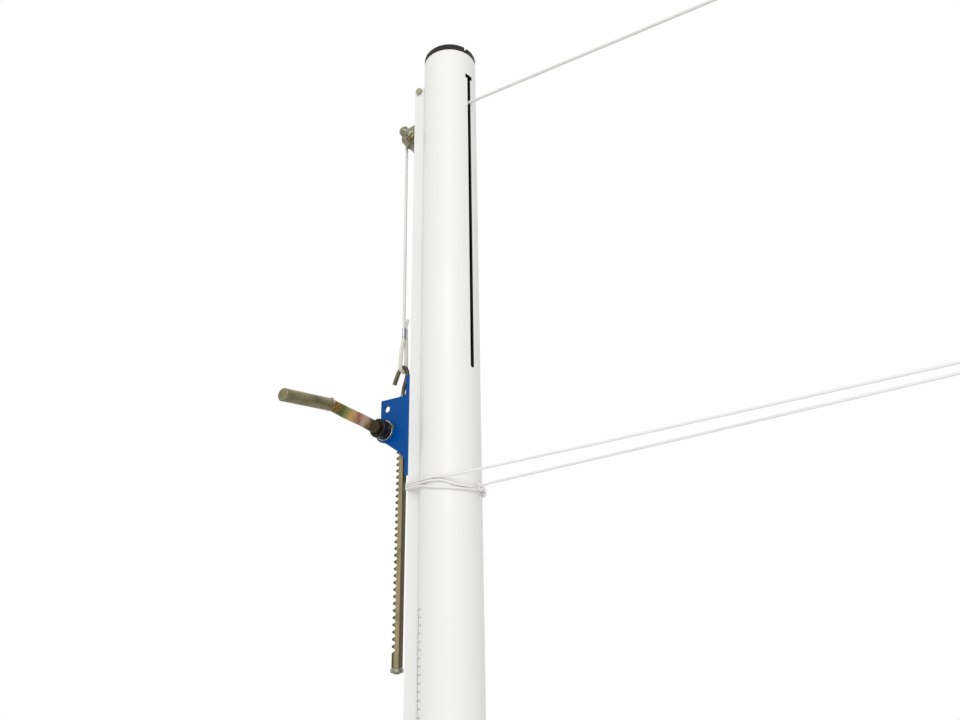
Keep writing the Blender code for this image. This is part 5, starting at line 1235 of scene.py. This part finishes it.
class POST_OT_crank(bpy.types.Operator):
    """Hub, bent flat bar and round grip"""

    bl_idname = "post.crank"
    bl_label = "Crank"

    def execute(self, context):
        dressed("crank_hub_black", "crank_hub", material("black_oxide_steel"), 0.0004, 3)
        self.add_bar()
        low, high = (Vector(corner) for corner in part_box("crank_grip"))
        outward = Vector((-math.cos(CRANK_ANGLE), 0, math.sin(CRANK_ANGLE)))
        axis = PINION_AXIS + outward * CRANK_RADIUS
        chamfer = 0.0009
        neck = GRIP_RADIUS - chamfer
        profile = [(0, high.y), (0, low.y), (neck, low.y), (GRIP_RADIUS, low.y + chamfer),
                   (GRIP_RADIUS, high.y - chamfer), (neck, high.y)]
        bm = turned(profile, axis, "Y", 72)
        for vert in bm.verts:
            reach = high.y - vert.co.y
            vert.co.x -= reach * GRIP_LEAN
            vert.co.z -= reach * GRIP_FALL
        finish(make_piece("crank_grip_plated", bm), material("grip_zinc"), "crank_grip", 0.0002)
        self.add_weld(axis, high.y + GAP)
        return {"FINISHED"}

    def add_weld(self, axis, seat):
        """Uneven bead that joins the grip to the bar."""
        route = []
        steps = 72
        for step in range(steps + 1):
            turn = math.tau * step / steps
            reach = GRIP_RADIUS - 0.0012 + 0.0004 * math.sin(7 * turn)
            route.append(Vector((axis.x + reach * math.cos(turn), seat - 0.0016,
                                 axis.z + reach * math.sin(turn))))
        bm = swept(route, lambda angle, along: 0.0019 + 0.0005 * math.sin(along * 700), 14, (0, 1, 0))
        finish(make_piece("grip_weld_bead", bm), material("weld_bead"), body="crank")

    def add_bar(self):
        """Flat bar with round ends, bent twice."""
        half = CRANK_BAR_WIDTH / 2
        start_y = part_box("crank_arm")[1][1]
        plan = arc((0, 0), half, math.pi / 2, 3 * math.pi / 2, 30)
        plan += arc((CRANK_RADIUS, 0), half, -math.pi / 2, math.pi / 2, 30)
        bm = prism([(s, w) for s, w in plan], -CRANK_BAR_THICKNESS, 0)
        cuts = 30
        for index in range(cuts + 1):
            s = CRANK_BEND_START + CRANK_BEND_RUN * index / cuts
            bmesh.ops.bisect_plane(bm, geom=bm.verts[:] + bm.edges[:] + bm.faces[:],
                                   plane_co=(s, 0, 0), plane_no=(1, 0, 0))
        for vert in bm.verts:
            share = min(max((vert.co.x - CRANK_BEND_START) / CRANK_BEND_RUN, 0.0), 1.0)
            vert.co.y -= CRANK_OFFSET * (0.5 - 0.5 * math.cos(math.pi * share))
        bmesh.ops.scale(bm, verts=bm.verts, vec=(-1, 1, 1))
        bmesh.ops.recalc_face_normals(bm, faces=bm.faces)
        place = Matrix.Translation((PINION_AXIS.x, start_y, PINION_AXIS.z))
        bmesh.ops.transform(bm, matrix=place @ Matrix.Rotation(CRANK_ANGLE, 4, "Y"), verts=bm.verts)
        finish(make_piece("crank_arm_plated", bm), material("yellow_zinc_banded"), "crank_arm",
               0.0009, 4)


# ---------------------------------------------------------------- rack
def hook_route():
    """Hook's centre line in the XZ plane: shank, lean, crown and free leg."""
    x, z, crown = RACK_AXIS_X, RACK_TOP, HOOK_CROWN
    shank = [(x, z - HOOK_SOCKET_DEPTH), (x, z), (x, z + 0.0080), (x + 0.0012, z + 0.0150),
             (x + 0.0050, z + 0.0270), (x + 0.0075, z + 0.0365), (x + 0.0070, crown - 0.0080)]
    bend = [(CABLE_X + 0.0057, crown - 0.0032), (CABLE_X + 0.0030, crown - 0.0007),
            (CABLE_X, crown), (CABLE_X - 0.0031, crown - 0.0007), (CABLE_X - 0.0061, crown - 0.0034)]
    leg = [(CABLE_X - 0.0095, crown - 0.0087), (CABLE_X - 0.0130, crown - 0.0167),
           (CABLE_X - 0.0165, crown - 0.0255)]
    return shank + bend + leg


class POST_OT_rack(bpy.types.Operator):
    """Toothed rack with its hook, nut, stop plate and screw"""

    bl_idname = "post.rack"
    bl_label = "Rack and hook"

    def execute(self, context):
        dressed("rack_bar_plated", "rack_bar", material("rack_zinc"), 0.0003)
        route = smooth_route([Vector((x, 0, z)) for x, z in hook_route()], 0.001)
        bm = swept(route, lambda angle, along: HOOK_RADIUS + (0.0004 if along > 0.034 else 0.0), 28,
                   (0, 1, 0))
        finish(make_piece("rack_hook_plated", bm), material("hook_zinc"), "rack_hook", 0.0004)
        low, high = (Vector(corner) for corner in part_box("hook_nut"))
        axis = (RACK_AXIS_X, 0, 0)
        nut = hexagon("hook_nut_plated", axis, "Z", low.z, high.z, 0.010)
        bore = HOOK_RADIUS + GAP
        combine(nut, turned([(0, low.z - 0.01), (bore, low.z - 0.01), (bore, high.z + 0.01),
                             (0, high.z + 0.01)], axis, "Z", 48))
        finish(nut, material("bright_zinc"), "hook_nut", 0.0002)
        dressed("rack_stop_plate_plated", "rack_stop_plate", material("dull_zinc"), 0.0016, 4)
        low, high = (Vector(corner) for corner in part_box("rack_stop_screw"))
        seat = low.z + 0.0035
        dome = [(0.0055 * math.sin(turn), seat - 0.0016 * math.cos(turn))
                for turn in [math.radians(step) for step in range(0, 91, 9)]]
        profile = dome + [(0.0025, seat), (0.0025, high.z), (0, high.z)]
        finish(make_piece("rack_stop_screw_plated", turned(profile, axis, "Z", 48)),
               material("dull_zinc"), "rack_stop_screw", 0.0001)
        return {"FINISHED"}


# ---------------------------------------------------------------- panel and registration
OPERATORS = (POST_OT_stage, POST_OT_top_cable, POST_OT_lower_cord, POST_OT_post, POST_OT_rail,
             POST_OT_scale_print, POST_OT_carriage, POST_OT_tensioner, POST_OT_drive,
             POST_OT_crank, POST_OT_rack)
SETTINGS = (("post_cords", CordSettings), ("post_print", PrintSettings),
            ("post_finish", FinishSettings))


class POST_PT_panel(bpy.types.Panel):
    """Lists the settings and the pieces"""

    bl_idname = "POST_PT_panel"
    bl_label = "Volleyball post"
    bl_space_type = "VIEW_3D"
    bl_region_type = "UI"
    bl_category = "Post"

    def draw(self, context):
        for name, group in SETTINGS:
            box = self.layout.box()
            box.label(text=group.__doc__.strip("."))
            for setting in group.__annotations__:
                box.prop(getattr(context.scene, name), setting)
        column = self.layout.column(align=True)
        for operator in OPERATORS:
            column.operator(operator.bl_idname)


CLASSES = tuple(group for name, group in SETTINGS) + OPERATORS + (POST_PT_panel,)


def register():
    for item in CLASSES:
        bpy.utils.register_class(item)
    for name, group in SETTINGS:
        setattr(bpy.types.Scene, name, bpy.props.PointerProperty(type=group))


def unregister():
    for name, group in SETTINGS:
        delattr(bpy.types.Scene, name)
    for item in reversed(CLASSES):
        bpy.utils.unregister_class(item)


def main():
    register()
    for operator in OPERATORS:
        group, name = operator.bl_idname.split(".")
        getattr(getattr(bpy.ops, group), name)()
    bpy.context.view_layer.update()


if __name__ == "__main__":
    main()
